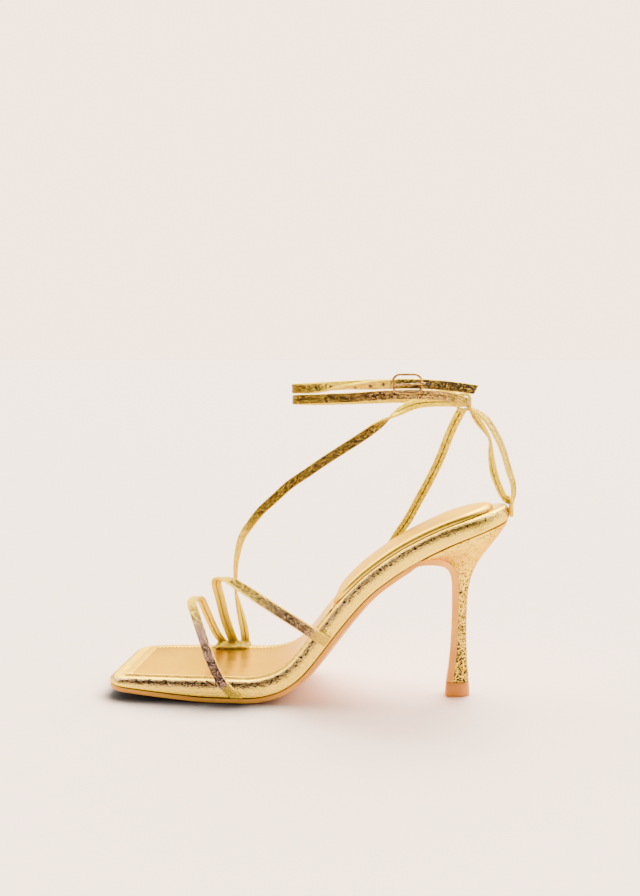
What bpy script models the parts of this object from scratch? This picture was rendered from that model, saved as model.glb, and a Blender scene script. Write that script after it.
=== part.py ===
"""Strappy heeled sandal, right shoe, modelled in metres with +Z up.

The toe points along -X and the medial side, with the buckle, faces -Y.
The origin is the middle of the heel tip's bottom face, on the floor.
"""

from math import cos, pi, radians, sin, sqrt

import bmesh
import bpy
from mathutils import Vector

MM = 0.001

# Sole
FORE_REACH = 189.5 * MM      # heel axis to the toe end
REAR_REACH = 27.0 * MM       # heel axis to the back end of the seat
SEAT_RISE = 98.0 * MM        # underside of the platform at its back end
BALL_WIDTH = 83.5 * MM
TOE_SPRING = 4.9 * MM
TOE_CORNER = 10.0 * MM       # plan radius of the square toe's corners
SEAT_ROUND = 0.96            # plan radius of the seat, as a share of its half width
PLATFORM = 9.5 * MM          # height of the wrapped wall at the waist
EDGE_ROUND = 3.0 * MM        # rounded top edge of the wrapped wall
LOWER_ROUND = 0.7 * MM
OUTSOLE_THICK = 2.4 * MM
OUTSOLE_INSET = 0.5 * MM
OUTSOLE_CROWN = 2.4 * MM     # extra thickness along the middle of the waist
FLAP_THICK = 2.0 * MM        # outsole flap down the heel's front face
FLAP_LEAD = 2.5 * MM         # the flap leaves the platform this far before the heel
GAP = 0.3 * MM               # clearance between two pieces that meet
SOLE_STEP = 5.0 * MM         # spacing of the sections that all sole pieces share
ROUND_STEPS = 6              # sections in each rounded end
SLOPE_PROBE = 0.2 * MM
OUTSOLE_SHARES = (1.0, 0.82, 0.45, 0.0, -0.45, -0.82, -1.0)
FLAP_BLEND = 1 / 3           # share of the flap in which the crown fades out

# Footbed
SOCK_MARGIN = 8.0 * MM
SOCK_THICK = 0.7 * MM
SOCK_CORNER = 3.0 * MM
PAD_MARGIN = 4.0 * MM
PAD_THICK = 3.0 * MM
PAD_CORNER = 9.0 * MM
PAD_FRONT = -0.31            # shares of FORE_REACH and REAR_REACH
PAD_BACK = 0.70
PAD_LAYERS = [
    # inset and rise, as shares of PAD_THICK
    (0.0, 0.00),
    (0.0, 0.40),
    (0.5, 0.85),
    (1.5, 1.00),
]

# Heel
BREAST_REACH = 26.0 * MM     # heel axis to the front end of the heel's top
SEAT_WIDTH = 50.0 * MM
TIP_HEIGHT = 7.5 * MM
TIP_LENGTH = 13.6 * MM
TIP_WIDTH = 13.0 * MM
TIP_FLARE = 0.92             # top of the wear pad as a share of its bottom
SECTION_SIDES = 28
SECTION_WIDEST = 0.42        # share of a section's depth where it is widest
FRONT_POWER = 5.0            # squareness of a section's front half
BACK_POWER = 2.3

# Straps
STRAP_WIDTH = 5.2 * MM
INSTEP_WIDTH = 5.9 * MM
STRAP_THICK = 1.7 * MM
STRAP_EDGE = 0.5 * MM        # rounding of the folded edges
STRAP_STEP = 5.0 * MM        # longest stretch of strap between two sections
TAB_WIDTH = 20.0 * MM
TAB_THICK = 2.3 * MM
TAB_SECTIONS = 5
TAB_CLEAR = 1.2 * MM         # from the sock to the tab's end on the footbed
LAP_END = 1.0 * MM           # the laps stop this far above the seam
LAP_GAP = 0.40 * MM
TAB_REACH = 0.6              # share of the wall that the strap ends cover in the tab
EDGE_TURNS = (90, 67, 45, 22, 0)
TOE_ARCH = 37.0 * MM         # rise of the toe strap above its two laps
INSTEP_ARCH = 43.0 * MM
ANKLE_LENGTH = 100.0 * MM
ANKLE_WIDTH = 46.0 * MM
ANKLE_HEIGHT = 163.0 * MM
LOOP_WIDTH = 7.0 * MM
LOOP_WALL = 1.8 * MM
LOOP_CLEAR = 0.5 * MM        # play between the strap's layers and the loop
LOOP_ROUND = 0.75            # corner radius as a share of the loop's half length
LOOP_LEAD = 1.0 * MM         # straight strap on each side of the loop
LOOP_JOIN = 0.25 * MM        # where the straps end, outside the loop's middle line
WAIST_FOOT = (-1.2 * MM, 0.6 * MM)
HEEL_FOOT_SIDE = 1.6 * MM
HEEL_FOOT_DROP = 0.72        # share of the loop's half height
TAIL_SLANT = -0.35

# Buckle
BUCKLE_LENGTH = 16.6 * MM
BUCKLE_HEIGHT = 11.0 * MM
BUCKLE_WIRE = 1.3 * MM
BUCKLE_CORNER = 4.2 * MM
PRONG_WIRE = 1.2 * MM
BUCKLE_PLACE = -0.275        # middle of the buckle, as a share of ANKLE_LENGTH
BUCKLE_STRAP_WIDTH = 4.7 * MM
BUCKLE_STRAP_THICK = 1.4 * MM
WIRE_STEPS = 2               # fineness of the round wires
WELD = 0.001 * MM
SHARP_ANGLE = 35

# Profile of the platform, from the toe to the back end. along is a share of
# FORE_REACH before the heel axis and of REAR_REACH behind it. rise is a
# share of SEAT_RISE, spring of TOE_SPRING, wall of PLATFORM and crown of
# OUTSOLE_CROWN.
PROFILE = [
    # along, rise, spring, wall, crown
    (-1.000, 0.000, 1.000, 0.440, 0.00),
    (-0.971, 0.000, 0.830, 0.500, 0.00),
    (-0.897, 0.000, 0.540, 0.670, 0.00),
    (-0.781, 0.000, 0.170, 0.880, 0.00),
    (-0.697, 0.000, 0.000, 0.980, 0.00),
    (-0.591, 0.000, 0.000, 0.980, 0.00),
    (-0.556, 0.007, 0.000, 0.980, 0.13),
    (-0.501, 0.037, 0.000, 0.980, 0.60),
    (-0.465, 0.077, 0.000, 0.970, 0.90),
    (-0.434, 0.128, 0.000, 0.960, 1.00),
    (-0.388, 0.240, 0.000, 0.960, 1.00),
    (-0.342, 0.362, 0.000, 0.980, 1.00),
    (-0.296, 0.477, 0.000, 0.980, 0.95),
    (-0.243, 0.591, 0.000, 0.980, 0.75),
    (-0.189, 0.677, 0.000, 0.990, 0.40),
    (-0.137, 0.748, 0.000, 1.000, 0.10),
    (-0.064, 0.831, 0.000, 0.980, 0.00),
    (0.000, 0.892, 0.000, 0.950, 0.00),
    (0.433, 0.941, 0.000, 0.890, 0.00),
    (1.000, 1.000, 0.000, 0.860, 0.00),
]

# Half widths of the platform, as shares of BALL_WIDTH.
WIDTHS = [
    # along, near, far
    (-1.000, 0.341, 0.539),
    (-0.897, 0.359, 0.581),
    (-0.781, 0.371, 0.599),
    (-0.697, 0.377, 0.611),
    (-0.591, 0.377, 0.623),
    (-0.501, 0.365, 0.599),
    (-0.434, 0.347, 0.533),
    (-0.342, 0.323, 0.413),
    (-0.243, 0.309, 0.323),
    (-0.137, 0.305, 0.299),
    (0.000, 0.311, 0.311),
    (1.000, 0.287, 0.287),
]

# Sections of the heel from the tip to the seat. front is a share of
# BREAST_REACH, back of REAR_REACH, width of SEAT_WIDTH, and the two rises
# are shares of SEAT_RISE.
HEEL_SECTIONS = [
    # front, front_rise, back, back_rise, width
    (-0.158, 0.080, 0.228, 0.080, 0.225),
    (-0.127, 0.133, 0.211, 0.130, 0.208),
    (-0.081, 0.255, 0.185, 0.250, 0.190),
    (-0.058, 0.388, 0.174, 0.380, 0.190),
    (-0.050, 0.510, 0.181, 0.500, 0.205),
    (-0.054, 0.617, 0.210, 0.605, 0.245),
    (-0.075, 0.680, 0.275, 0.680, 0.320),
    (-0.135, 0.725, 0.385, 0.750, 0.430),
    (-0.245, 0.761, 0.560, 0.820, 0.590),
    (-0.440, 0.783, 0.730, 0.880, 0.760),
    (-0.700, 0.783, 0.880, 0.935, 0.900),
    (-1.000, 0.757, 0.985, 0.985, 0.960),
]

# The two vamp straps between their laps. across runs from the near lap to
# the far one, lean is a share of FORE_REACH toward the toe, up is a share
# of the strap's own arch, and facing turns the outer face from the near
# side over the top to the far side.
TOE_STRAP = [
    # across, lean, up, facing
    (0.026, 0.033, 0.330, 12),
    (0.115, 0.060, 0.677, 28),
    (0.221, 0.079, 0.881, 50),
    (0.340, 0.091, 0.990, 75),
    (0.458, 0.083, 1.010, 98),
    (0.576, 0.070, 0.951, 118),
    (0.742, 0.055, 0.665, 142),
    (0.880, 0.028, 0.270, 162),
]
INSTEP_STRAP = [
    # across, lean, up, facing
    (0.003, 0.045, 0.130, 8),
    (0.031, 0.088, 0.270, 18),
    (0.112, 0.138, 0.480, 36),
    (0.236, 0.164, 0.660, 58),
    (0.330, 0.168, 0.745, 76),
    (0.430, 0.169, 0.795, 96),
    (0.545, 0.158, 0.770, 118),
    (0.701, 0.112, 0.570, 142),
    (0.812, 0.075, 0.357, 158),
    (0.905, 0.036, 0.140, 168),
]

# The ankle strap above its tab. fore is a share of ANKLE_LENGTH, side of
# half ANKLE_WIDTH, up of ANKLE_HEIGHT. turn is the direction of the outer
# face seen from above, 0 toward the toe and 90 toward the far side, and
# roll turns the strap about its own length.
CLIMB = [
    # fore, side, up, turn, roll
    (-1.263, 2.120, 0.120, 68, 4),
    (-1.280, 2.030, 0.183, 38, 8),
    (-1.300, 1.783, 0.271, 0, 12),
    (-1.296, 1.609, 0.335, -15, 14),
    (-1.281, 1.391, 0.406, -33, 15),
    (-1.236, 1.065, 0.494, -58, 15),
    (-1.178, 0.783, 0.553, -70, 12),
    (-1.117, 0.522, 0.609, -78, 10),
    (-1.037, 0.261, 0.648, -82, 8),
    (-0.924, -0.087, 0.701, -84, 6),
    (-0.818, -0.370, 0.747, -86, 4),
    (-0.716, -0.565, 0.791, -88, 2),
    (-0.617, -0.696, 0.831, -90, 0),
    (-0.520, -0.783, 0.870, -90, -6),
    (-0.426, -0.826, 0.911, -90, -45),
    (-0.356, -0.835, 0.940, -90, -100),
    (-0.293, -0.817, 0.963, -92, -145),
    (-0.231, -0.761, 0.979, -95, -170),
    (-0.148, -0.609, 0.985, -102, -180),
    (-0.060, -0.370, 0.984, -132, -180),
]
LOWER_TURN = [
    # fore, side, up, turn, roll
    (-0.025, 0.430, 0.981, -215, -180),
    (-0.130, 0.790, 0.985, -250, -180),
    (-0.330, 1.000, 0.988, -265, -180),
    (-0.580, 0.980, 0.983, -280, -180),
    (-0.780, 0.680, 0.981, -310, -180),
    (-0.895, 0.060, 0.986, -355, -180),
    (-0.870, -0.435, 0.990, -400, -180),
    (-0.780, -0.783, 0.994, -425, -180),
    (-0.682, -0.913, 0.997, -440, -180),
    (-0.575, -0.970, 1.000, -446, -180),
    (-0.418, -0.991, 1.007, -450, -180),
    (-0.260, -0.920, 1.011, -460, -180),
    (-0.122, -0.710, 1.007, -480, -180),
    (-0.040, -0.470, 0.998, -505, -180),
]
UPPER_TURN = [
    # fore, side, up, turn, roll
    (-0.020, 0.500, 0.995, -575, -180),
    (-0.124, 0.930, 1.034, -610, -180),
    (-0.330, 1.150, 1.040, -625, -180),
    (-0.580, 1.130, 1.034, -640, -180),
    (-0.790, 0.800, 1.028, -670, -180),
    (-0.898, 0.060, 1.025, -715, -180),
    (-0.872, -0.478, 1.026, -760, -180),
    (-0.778, -0.870, 1.028, -788, -166),
    (-0.707, -0.978, 1.030, -800, -132),
    (-0.626, -1.043, 1.034, -806, -90),
    (-0.547, -1.061, 1.036, -810, -58),
    (-0.469, -1.065, 1.040, -810, -30),
    (-0.400, -1.068, 1.043, -810, -8),
    (-0.345, -1.070, 1.044, -810, 0),
    (-0.275, -1.070, 1.045, -810, 0),
    (-0.190, -1.070, 1.044, -810, 0),
    (-0.130, -1.075, 1.042, -810, 0),
    (-0.055, -1.090, 1.038, -810, 0),
    (0.080, -1.100, 1.027, -810, 0),
]
BUCKLE_STRAP = [
    # fore, side, up, turn, roll
    (-0.195, -0.945, 1.043, -90, 0),
    (-0.100, -0.900, 1.040, -98, 0),
    (-0.030, -0.720, 1.036, -120, 0),
    (0.015, -0.430, 1.032, -150, 0),
    (0.028, -0.150, 1.028, -172, 0),
]

# The heel's own straps, in the same shares as the ankle strap. The waist
# strap and the two heel straps end in the wall of the loop.
WAIST_STRAP = [
    # fore, side, up, turn, roll
    (-0.275, 1.180, 0.574, 90, 0),
    (-0.223, 1.110, 0.636, 92, 0),
    (-0.174, 1.010, 0.693, 92, 0),
    (-0.126, 0.860, 0.754, 92, 0),
    (-0.091, 0.700, 0.807, 92, 0),
    (-0.060, 0.480, 0.860, 92, 0),
    (-0.027, 0.240, 0.910, 92, 0),
]
NEAR_HEEL_STRAP = [
    # fore, side, up, turn, roll
    (0.287, -0.300, 0.670, -158, 0),
    (0.285, -0.340, 0.715, -155, 0),
    (0.258, -0.350, 0.769, -150, 0),
    (0.236, -0.310, 0.815, -148, 0),
    (0.201, -0.260, 0.867, -146, 0),
    (0.137, -0.190, 0.930, -148, 0),
]
FAR_HEEL_STRAP = [
    # fore, side, up, turn, roll
    (0.250, 0.260, 0.660, 155, 0),
    (0.213, 0.300, 0.703, 142, 0),
    (0.187, 0.310, 0.750, 138, 0),
    (0.173, 0.300, 0.803, 155, 0),
    (0.166, 0.260, 0.851, 178, 0),
    (0.143, 0.220, 0.881, 162, 0),
    (0.100, 0.150, 0.918, 142, 0),
]
LOOP_PLACE = (0.020, 0.0, 0.982)

# The buckle's pin. along is a share of half BUCKLE_LENGTH from the middle,
# lift of the distance between the wires' centres, drop of PRONG_WIRE.
PRONG = [
    # along, lift, drop
    (1.108, -0.10, -0.16),
    (1.060, 0.75, -0.16),
    (0.843, 1.00, -0.08),
    (0.400, 0.85, 0.16),
    (-0.500, 0.95, 0.50),
    (-1.036, 1.00, 0.75),
]

# Places of the laps along FORE_REACH, at the seam and at the top edge.
TOE_LAP = (-0.618, -0.660)
INSTEP_LAP = (-0.357, -0.361)
WAIST_LAP = (-0.177, -0.168)
TAB_PLACE = -0.701
TOE_FAR_END = -0.733
INSTEP_FAR_END = -0.700
ANKLE_FAR_END = -0.666
HEEL_LAP_SIDE = 4.0 * MM


def along_to_x(along):
    """Turn a share along the sole into a place on the X axis."""
    return along * (FORE_REACH if along < 0 else REAR_REACH)


def smooth_curve(keys, values):
    """Return a function that runs smoothly through values, without overshoot."""
    count = len(keys)
    steps = [(values[i + 1] - values[i]) / (keys[i + 1] - keys[i]) for i in range(count - 1)]
    slopes = [steps[0]]
    for before, after in zip(steps, steps[1:]):
        agree = before * after > 0
        slopes.append(2 * before * after / (before + after) if agree else 0.0)
    slopes.append(steps[-1])

    def value(key):
        key = min(max(key, keys[0]), keys[-1])
        i = max(k for k in range(count - 1) if keys[k] <= key)
        span = keys[i + 1] - keys[i]
        t = (key - keys[i]) / span
        start = (1 + 2 * t) * (1 - t) ** 2 * values[i] + t * (1 - t) ** 2 * span * slopes[i]
        end = t * t * (3 - 2 * t) * values[i + 1] + t * t * (t - 1) * span * slopes[i + 1]
        return start + end

    return value


FLAT_LEVEL = OUTSOLE_THICK + GAP
FLAT_START = along_to_x(PROFILE[4][0])
FLAT_END = along_to_x(PROFILE[5][0])
PROFILE_X = [along_to_x(row[0]) for row in PROFILE]
WIDTH_X = [along_to_x(row[0]) for row in WIDTHS]
underside = smooth_curve(
    PROFILE_X,
    [FLAT_LEVEL + row[1] * (SEAT_RISE - FLAT_LEVEL) + row[2] * TOE_SPRING for row in PROFILE],
)
wall_height = smooth_curve(PROFILE_X, [row[3] * PLATFORM for row in PROFILE])
crown_height = smooth_curve(PROFILE_X, [row[4] * OUTSOLE_CROWN for row in PROFILE])
near_width = smooth_curve(WIDTH_X, [row[1] * BALL_WIDTH for row in WIDTHS])
far_width = smooth_curve(WIDTH_X, [row[2] * BALL_WIDTH for row in WIDTHS])


def seat_round():
    """Plan radius of the rounded back end of the platform."""
    return SEAT_ROUND * min(near_width(REAR_REACH), far_width(REAR_REACH))


def sole_frame(x):
    """Point, direction and normal of the underside, upright at the back end."""
    low = max(x - SLOPE_PROBE, -FORE_REACH)
    high = min(x + SLOPE_PROBE, REAR_REACH)
    run = Vector((high - low, 0, underside(high) - underside(low))).normalized()
    upright = max(x / REAR_REACH, 0.0)
    normal = Vector((-run.z, 0, run.x)).lerp(Vector((0, 0, 1)), upright).normalized()
    return Vector((x, 0, underside(x))), run, normal


def on_sole(x, y, height):
    """Place a point over the underside, with its height along the normal."""
    point, _, normal = sole_frame(x)
    return point + normal * height + Vector((0, y, 0))


def corner_inset(distance, radius):
    """Sideways inset of a rounded corner at a distance from its end."""
    left = max(radius - distance, 0.0)
    return radius - sqrt(max(radius * radius - left * left, 0.0))


def shared_places():
    """Places of the sole's sections, with both ends of the flat tread."""
    marks = [-FORE_REACH, FLAT_START, FLAT_END, REAR_REACH]
    places = []
    for low, high in zip(marks, marks[1:]):
        count = round((high - low) / SOLE_STEP)
        places += [low + (high - low) * i / count for i in range(count)]
    return places


def station_line(start, end, start_round, end_round):
    """Sections of one piece, close together in its rounded ends."""
    turns = [i / ROUND_STEPS for i in range(ROUND_STEPS + 1)]
    first = [start + start_round * (1 - cos(t * pi / 2)) for t in turns]
    last = [end - end_round * (1 - cos(t * pi / 2)) for t in reversed(turns)]
    room = 0.25 * SOLE_STEP
    middle = [x for x in shared_places() if first[-1] + room < x < last[0] - room]
    return sorted(set(first + middle + last))


def plan_outline(stations, margin, start_round, end_round):
    """Near and far edges of a piece of the sole, as pairs of plan points."""
    start = stations[0]
    end = stations[-1]
    near = []
    far = []
    for x in stations:
        inset = corner_inset(x - start, start_round) + corner_inset(end - x, end_round)
        near.append((x, -(near_width(x) - margin - inset)))
        far.append((x, far_width(x) - margin - inset))
    return near, far


def inset_outline(near, far, distance):
    """Move a closed plan outline inwards by a distance."""
    ring = near + far[::-1]
    count = len(ring)
    moved = []
    for i, (x, y) in enumerate(ring):
        before = ring[i - 1]
        after = ring[(i + 1) % count]
        run = Vector((after[0] - before[0], after[1] - before[1])).normalized()
        moved.append((x - run.y * distance, y + run.x * distance))
    half = len(near)
    return moved[:half], moved[half:][::-1]


def add_object(name, bm, material):
    """Make an object of a bmesh, with outward faces and smooth shading."""
    bmesh.ops.recalc_face_normals(bm, faces=bm.faces)
    mesh = bpy.data.meshes.new(name)
    bm.to_mesh(mesh)
    bm.free()
    mesh.shade_smooth()
    mesh.set_sharp_from_angle(angle=radians(SHARP_ANGLE))
    mesh.materials.append(material)
    obj = bpy.data.objects.new(name, mesh)
    sandal.objects.link(obj)
    return obj


def join_rings(bm, rings, closed=False):
    """Skin a row of rings that have the same number of points."""
    loops = [[bm.verts.new(point) for point in ring] for ring in rings]
    size = len(loops[0])
    pairs = list(zip(loops, loops[1:]))
    if closed:
        pairs.append((loops[-1], loops[0]))
    for one, other in pairs:
        for i in range(size):
            j = (i + 1) % size
            bm.faces.new((one[i], one[j], other[j], other[i]))
    return loops


def cap_pairs(bm, loop, half):
    """Close a ring whose first half runs beside its second half, in strips."""
    size = len(loop)
    for i in range(half - 1):
        bm.faces.new((loop[i], loop[i + 1], loop[size - 2 - i], loop[size - 1 - i]))


def layered_piece(name, near, far, layers, material):
    """Build a flat piece of the sole from inset outlines at several heights."""
    bm = bmesh.new()
    rings = []
    for distance, height in layers:
        side_a, side_b = inset_outline(near, far, distance) if distance else (near, far)
        ring = [on_sole(x, y, height(x)) for x, y in side_a + side_b[::-1]]
        rings.append(ring)
    loops = join_rings(bm, rings)
    cap_pairs(bm, loops[0], len(near))
    cap_pairs(bm, loops[-1], len(near))
    return add_object(name, bm, material)


def edge_radius(x):
    """Radius of the wrapped edge, limited where the wall is low."""
    return min(EDGE_ROUND, 0.5 * wall_height(x))


def make_midsole():
    """Wrapped platform with a rounded top edge, over the whole length."""
    stations = station_line(-FORE_REACH, REAR_REACH, TOE_CORNER, seat_round())
    near, far = plan_outline(stations, 0, TOE_CORNER, seat_round())
    layers = [
        (LOWER_ROUND, lambda x: 0.0),
        (0, lambda x: LOWER_ROUND),
        (0, lambda x: wall_height(x) - edge_radius(x)),
    ]
    for degrees in (30, 60, 90):
        angle = radians(degrees)
        layers.append((
            EDGE_ROUND * (1 - cos(angle)),
            lambda x, a=angle: wall_height(x) - edge_radius(x) * (1 - sin(a)),
        ))
    return layered_piece("midsole", near, far, layers, wrapped_foil)


def make_insole_sock():
    """Smooth inset of the forefoot, which stops short of the heel pad."""
    start = -FORE_REACH + SOCK_MARGIN
    end = along_to_x(PAD_FRONT) - GAP
    stations = station_line(start, end, SOCK_CORNER, SOCK_CORNER)
    near, far = plan_outline(stations, SOCK_MARGIN, SOCK_CORNER, SOCK_CORNER)
    layers = [
        (0, lambda x: wall_height(x) + GAP),
        (0, lambda x: wall_height(x) + GAP + SOCK_THICK),
    ]
    return layered_piece("insole_sock", near, far, layers, satin_sock)


def make_heel_pad():
    """Padded piece from the waist to the heel seat."""
    start = along_to_x(PAD_FRONT) + GAP
    end = along_to_x(PAD_BACK)
    back_round = seat_round() - PAD_MARGIN
    stations = station_line(start, end, PAD_CORNER, back_round)
    near, far = plan_outline(stations, PAD_MARGIN, PAD_CORNER, back_round)
    layers = []
    for inset, rise in PAD_LAYERS:
        layers.append((
            inset * PAD_THICK,
            lambda x, r=rise: wall_height(x) + GAP + r * PAD_THICK,
        ))
    return layered_piece("heel_pad", near, far, layers, padded_foil)


def heel_rows():
    """Front point, back point and width of each section of the heel."""
    rows = []
    for front, front_rise, back, back_rise, width in HEEL_SECTIONS:
        low = Vector((front * BREAST_REACH, 0, front_rise * SEAT_RISE))
        high = Vector((back * REAR_REACH, 0, back_rise * SEAT_RISE))
        rows.append([low, high, width * SEAT_WIDTH])
    base = TIP_HEIGHT + GAP
    rows[0][0].z = base
    rows[0][1].z = base
    return rows


def seat_level(x):
    """Height of the heel's top face, a clearance below the platform."""
    _, run, _ = sole_frame(x)
    return underside(x) - GAP / run.x


def d_section(low, high, width):
    """Ring with a flat front and a round back, between two points."""
    ring = []
    for i in range(SECTION_SIDES):
        angle = 2 * pi * (i + 0.5) / SECTION_SIDES
        c = cos(angle)
        s = sin(angle)
        power = 2 / (FRONT_POWER if c > 0 else BACK_POWER)
        reach = abs(c) ** power
        depth = -SECTION_WIDEST if c > 0 else 1 - SECTION_WIDEST
        share = SECTION_WIDEST + depth * reach
        side = abs(s) ** power * (1 if s > 0 else -1)
        point = low.lerp(high, share)
        ring.append(Vector((point.x, side * width / 2, point.z)))
    return ring


def make_heel():
    """Slender heel that flares into the seat and follows the underside."""
    rows = heel_rows()
    rings = [d_section(*row) for row in rows]
    for point in rings[-1]:
        point.z = seat_level(point.x)
    bm = bmesh.new()
    loops = join_rings(bm, rings)
    half = len(loops[0]) // 2
    cap_pairs(bm, loops[0], half)
    cap_pairs(bm, loops[-1], half)
    return add_object("heel", bm, wrapped_foil)


def make_top_piece():
    """Flared wear pad under the heel, with the same flat front."""
    rings = []
    for height, share in ((0, 1.0), (TIP_HEIGHT, TIP_FLARE)):
        reach = TIP_LENGTH / 2 * share
        low = Vector((-reach, 0, height))
        high = Vector((reach, 0, height))
        rings.append(d_section(low, high, TIP_WIDTH * share))
    bm = bmesh.new()
    loops = join_rings(bm, rings)
    half = len(loops[0]) // 2
    cap_pairs(bm, loops[0], half)
    cap_pairs(bm, loops[-1], half)
    return add_object("top_piece", bm, tan_sole)


def spline_points(rows, spacing):
    """Points on a smooth curve through rows of numbers, the first 3 a place."""
    size = len(rows[0])
    chords = [0.0]
    for one, other in zip(rows, rows[1:]):
        chords.append(chords[-1] + max((Vector(other[:3]) - Vector(one[:3])).length, 1e-6))

    def slope(i, column):
        low = max(i - 1, 0)
        high = min(i + 1, len(rows) - 1)
        return (rows[high][column] - rows[low][column]) / (chords[high] - chords[low])

    points = []
    for i in range(len(rows) - 1):
        span = chords[i + 1] - chords[i]
        count = max(int(round(span / spacing)), 1)
        for step in range(count):
            t = step / count
            point = []
            for column in range(size):
                start = (1 + 2 * t) * (1 - t) ** 2 * rows[i][column]
                start += t * (1 - t) ** 2 * span * slope(i, column)
                end = t * t * (3 - 2 * t) * rows[i + 1][column]
                end += t * t * (t - 1) * span * slope(i + 1, column)
                point.append(start + end)
            points.append(point)
    points.append(list(rows[-1]))
    return points


def make_outsole():
    """Thin sole from the toe to the breast, and its flap down the heel."""
    stop = -BREAST_REACH - FLAP_LEAD
    rows = []
    for x in station_line(-FORE_REACH + OUTSOLE_INSET, stop, TOE_CORNER, 0):
        point, _, normal = sole_frame(x)
        inset = corner_inset(x + FORE_REACH - OUTSOLE_INSET, TOE_CORNER) + OUTSOLE_INSET
        rows.append((
            point - normal * GAP, normal,
            near_width(x) - inset, far_width(x) - inset,
            OUTSOLE_THICK, crown_height(x),
        ))
    front = [[*low, width / 2] for low, _, width in heel_rows()][::-1]
    flap = spline_points(front[1:], SOLE_STEP)
    last = rows[-1]
    for i, row in enumerate(flap):
        before = Vector(flap[i - 1][:3]) if i else last[0]
        after = Vector(flap[min(i + 1, len(flap) - 1)][:3])
        run = (after - before).normalized()
        normal = Vector((-run.z, 0, run.x))
        fade = min((i + 1) / len(flap) / FLAP_BLEND, 1)
        crown = last[5] * (1 - fade)
        thick = last[4] + (FLAP_THICK - last[4]) * fade
        place = Vector(row[:3]) - normal * GAP
        rows.append((place, normal, row[3], row[3], thick, crown))
    rings = []
    for place, normal, near, far, thick, crown in rows:
        ring = [place + Vector((0, y, 0)) for y in (-near, -near / 2, far / 2, far)]
        for share in OUTSOLE_SHARES:
            side = far if share > 0 else near
            drop = thick + crown * (1 - share * share)
            ring.append(place + Vector((0, side * share, 0)) - normal * drop)
        rings.append(ring)
    bm = bmesh.new()
    loops = join_rings(bm, rings)
    bm.faces.new(loops[0])
    bm.faces.new(loops[-1])
    return add_object("outsole", bm, tan_sole)


def ribbon_section(width, thick, edge):
    """Section of a folded strap: across its width and out of its face."""
    w = width / 2
    t = thick / 2
    return [
        (-w, -t + edge), (-w + edge, -t), (w - edge, -t), (w, -t + edge),
        (w, t - edge), (w - edge, t), (-w + edge, t), (-w, t - edge),
    ]


def sweep_strap(bm, spine, width=STRAP_WIDTH, thick=STRAP_THICK, closed=False, slant=0.0):
    """Sweep a strap along points that each have the direction of its face."""
    section = ribbon_section(width, thick, min(STRAP_EDGE, 0.3 * thick))
    count = len(spine)
    rings = []
    for i, (point, face) in enumerate(spine):
        before = spine[i - 1][0] if closed or i else point
        after = spine[(i + 1) % count][0] if closed or i < count - 1 else point
        run = (after - before).normalized()
        out = (face - run * face.dot(run)).normalized()
        side = run.cross(out)
        lead = slant if i == count - 1 else 0.0
        ring = []
        for across, depth in section:
            ring.append(point + side * across + out * depth + run * (lead * across))
        rings.append(ring)
    loops = join_rings(bm, rings, closed)
    if not closed:
        bm.faces.new(loops[0])
        bm.faces.new(loops[-1])


def strap_object(name, spine, **options):
    """A strap as an object of its own."""
    bm = bmesh.new()
    sweep_strap(bm, spine, **options)
    return add_object(name, bm, strap_foil)


def facing(turn, roll):
    """Direction of a strap's outer face, from two angles in degrees."""
    turn = radians(turn)
    roll = radians(roll)
    return Vector((-cos(turn) * cos(roll), sin(turn) * cos(roll), sin(roll)))


def ankle_place(fore, side, up):
    """Place of a point given in shares of the ankle's sizes."""
    return Vector((fore * ANKLE_LENGTH, side * ANKLE_WIDTH / 2, up * ANKLE_HEIGHT))


def ankle_rows(table):
    """Rows of place, turn and roll from a table of shares."""
    return [[*ankle_place(*row[:3]), row[3], row[4]] for row in table]


def turned_spine(rows):
    """Spine of a strap from rows of place, turn and roll."""
    spine = []
    for x, y, z, turn, roll in spline_points(rows, STRAP_STEP):
        spine.append((Vector((x, y, z)), facing(turn, roll)))
    return spine


def wall_point(x, side, height, depth):
    """Point outside the platform's side wall, side -1 near and 1 far."""
    half = near_width(x) if side < 0 else far_width(x)
    return on_sole(x, side * (half + depth), height)


def edge_path(x, depth):
    """Path over the far edge at one station: footbed, rounded edge, wall."""
    half = far_width(x)
    wall = wall_height(x)
    round_edge = edge_radius(x)
    reach = SOCK_MARGIN - TAB_CLEAR
    path = [(on_sole(x, half - reach, wall + depth), Vector((0, 0, 1)))]
    for degrees in EDGE_TURNS:
        angle = radians(degrees)
        y = half - EDGE_ROUND + (EDGE_ROUND + depth) * cos(angle)
        place = on_sole(x, y, wall - round_edge + (round_edge + depth) * sin(angle))
        path.append((place, Vector((0, cos(angle), sin(angle)))))
    path.append((on_sole(x, half + depth, LAP_END), Vector((0, 1, 0))))
    return path


def make_tab():
    """Tab that joins the three straps, lapped over the far edge."""
    middle = along_to_x(TAB_PLACE)
    rings = []
    for i in range(TAB_SECTIONS + 1):
        x = middle + (i / TAB_SECTIONS - 0.5) * TAB_WIDTH
        inner = [place for place, _ in edge_path(x, LAP_GAP)]
        outer = [place for place, _ in edge_path(x, LAP_GAP + TAB_THICK)]
        rings.append(inner + outer[::-1])
    bm = bmesh.new()
    loops = join_rings(bm, rings)
    cap_pairs(bm, loops[0], len(rings[0]) // 2)
    cap_pairs(bm, loops[-1], len(rings[0]) // 2)
    return add_object("strap_tab", bm, strap_foil)


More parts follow.
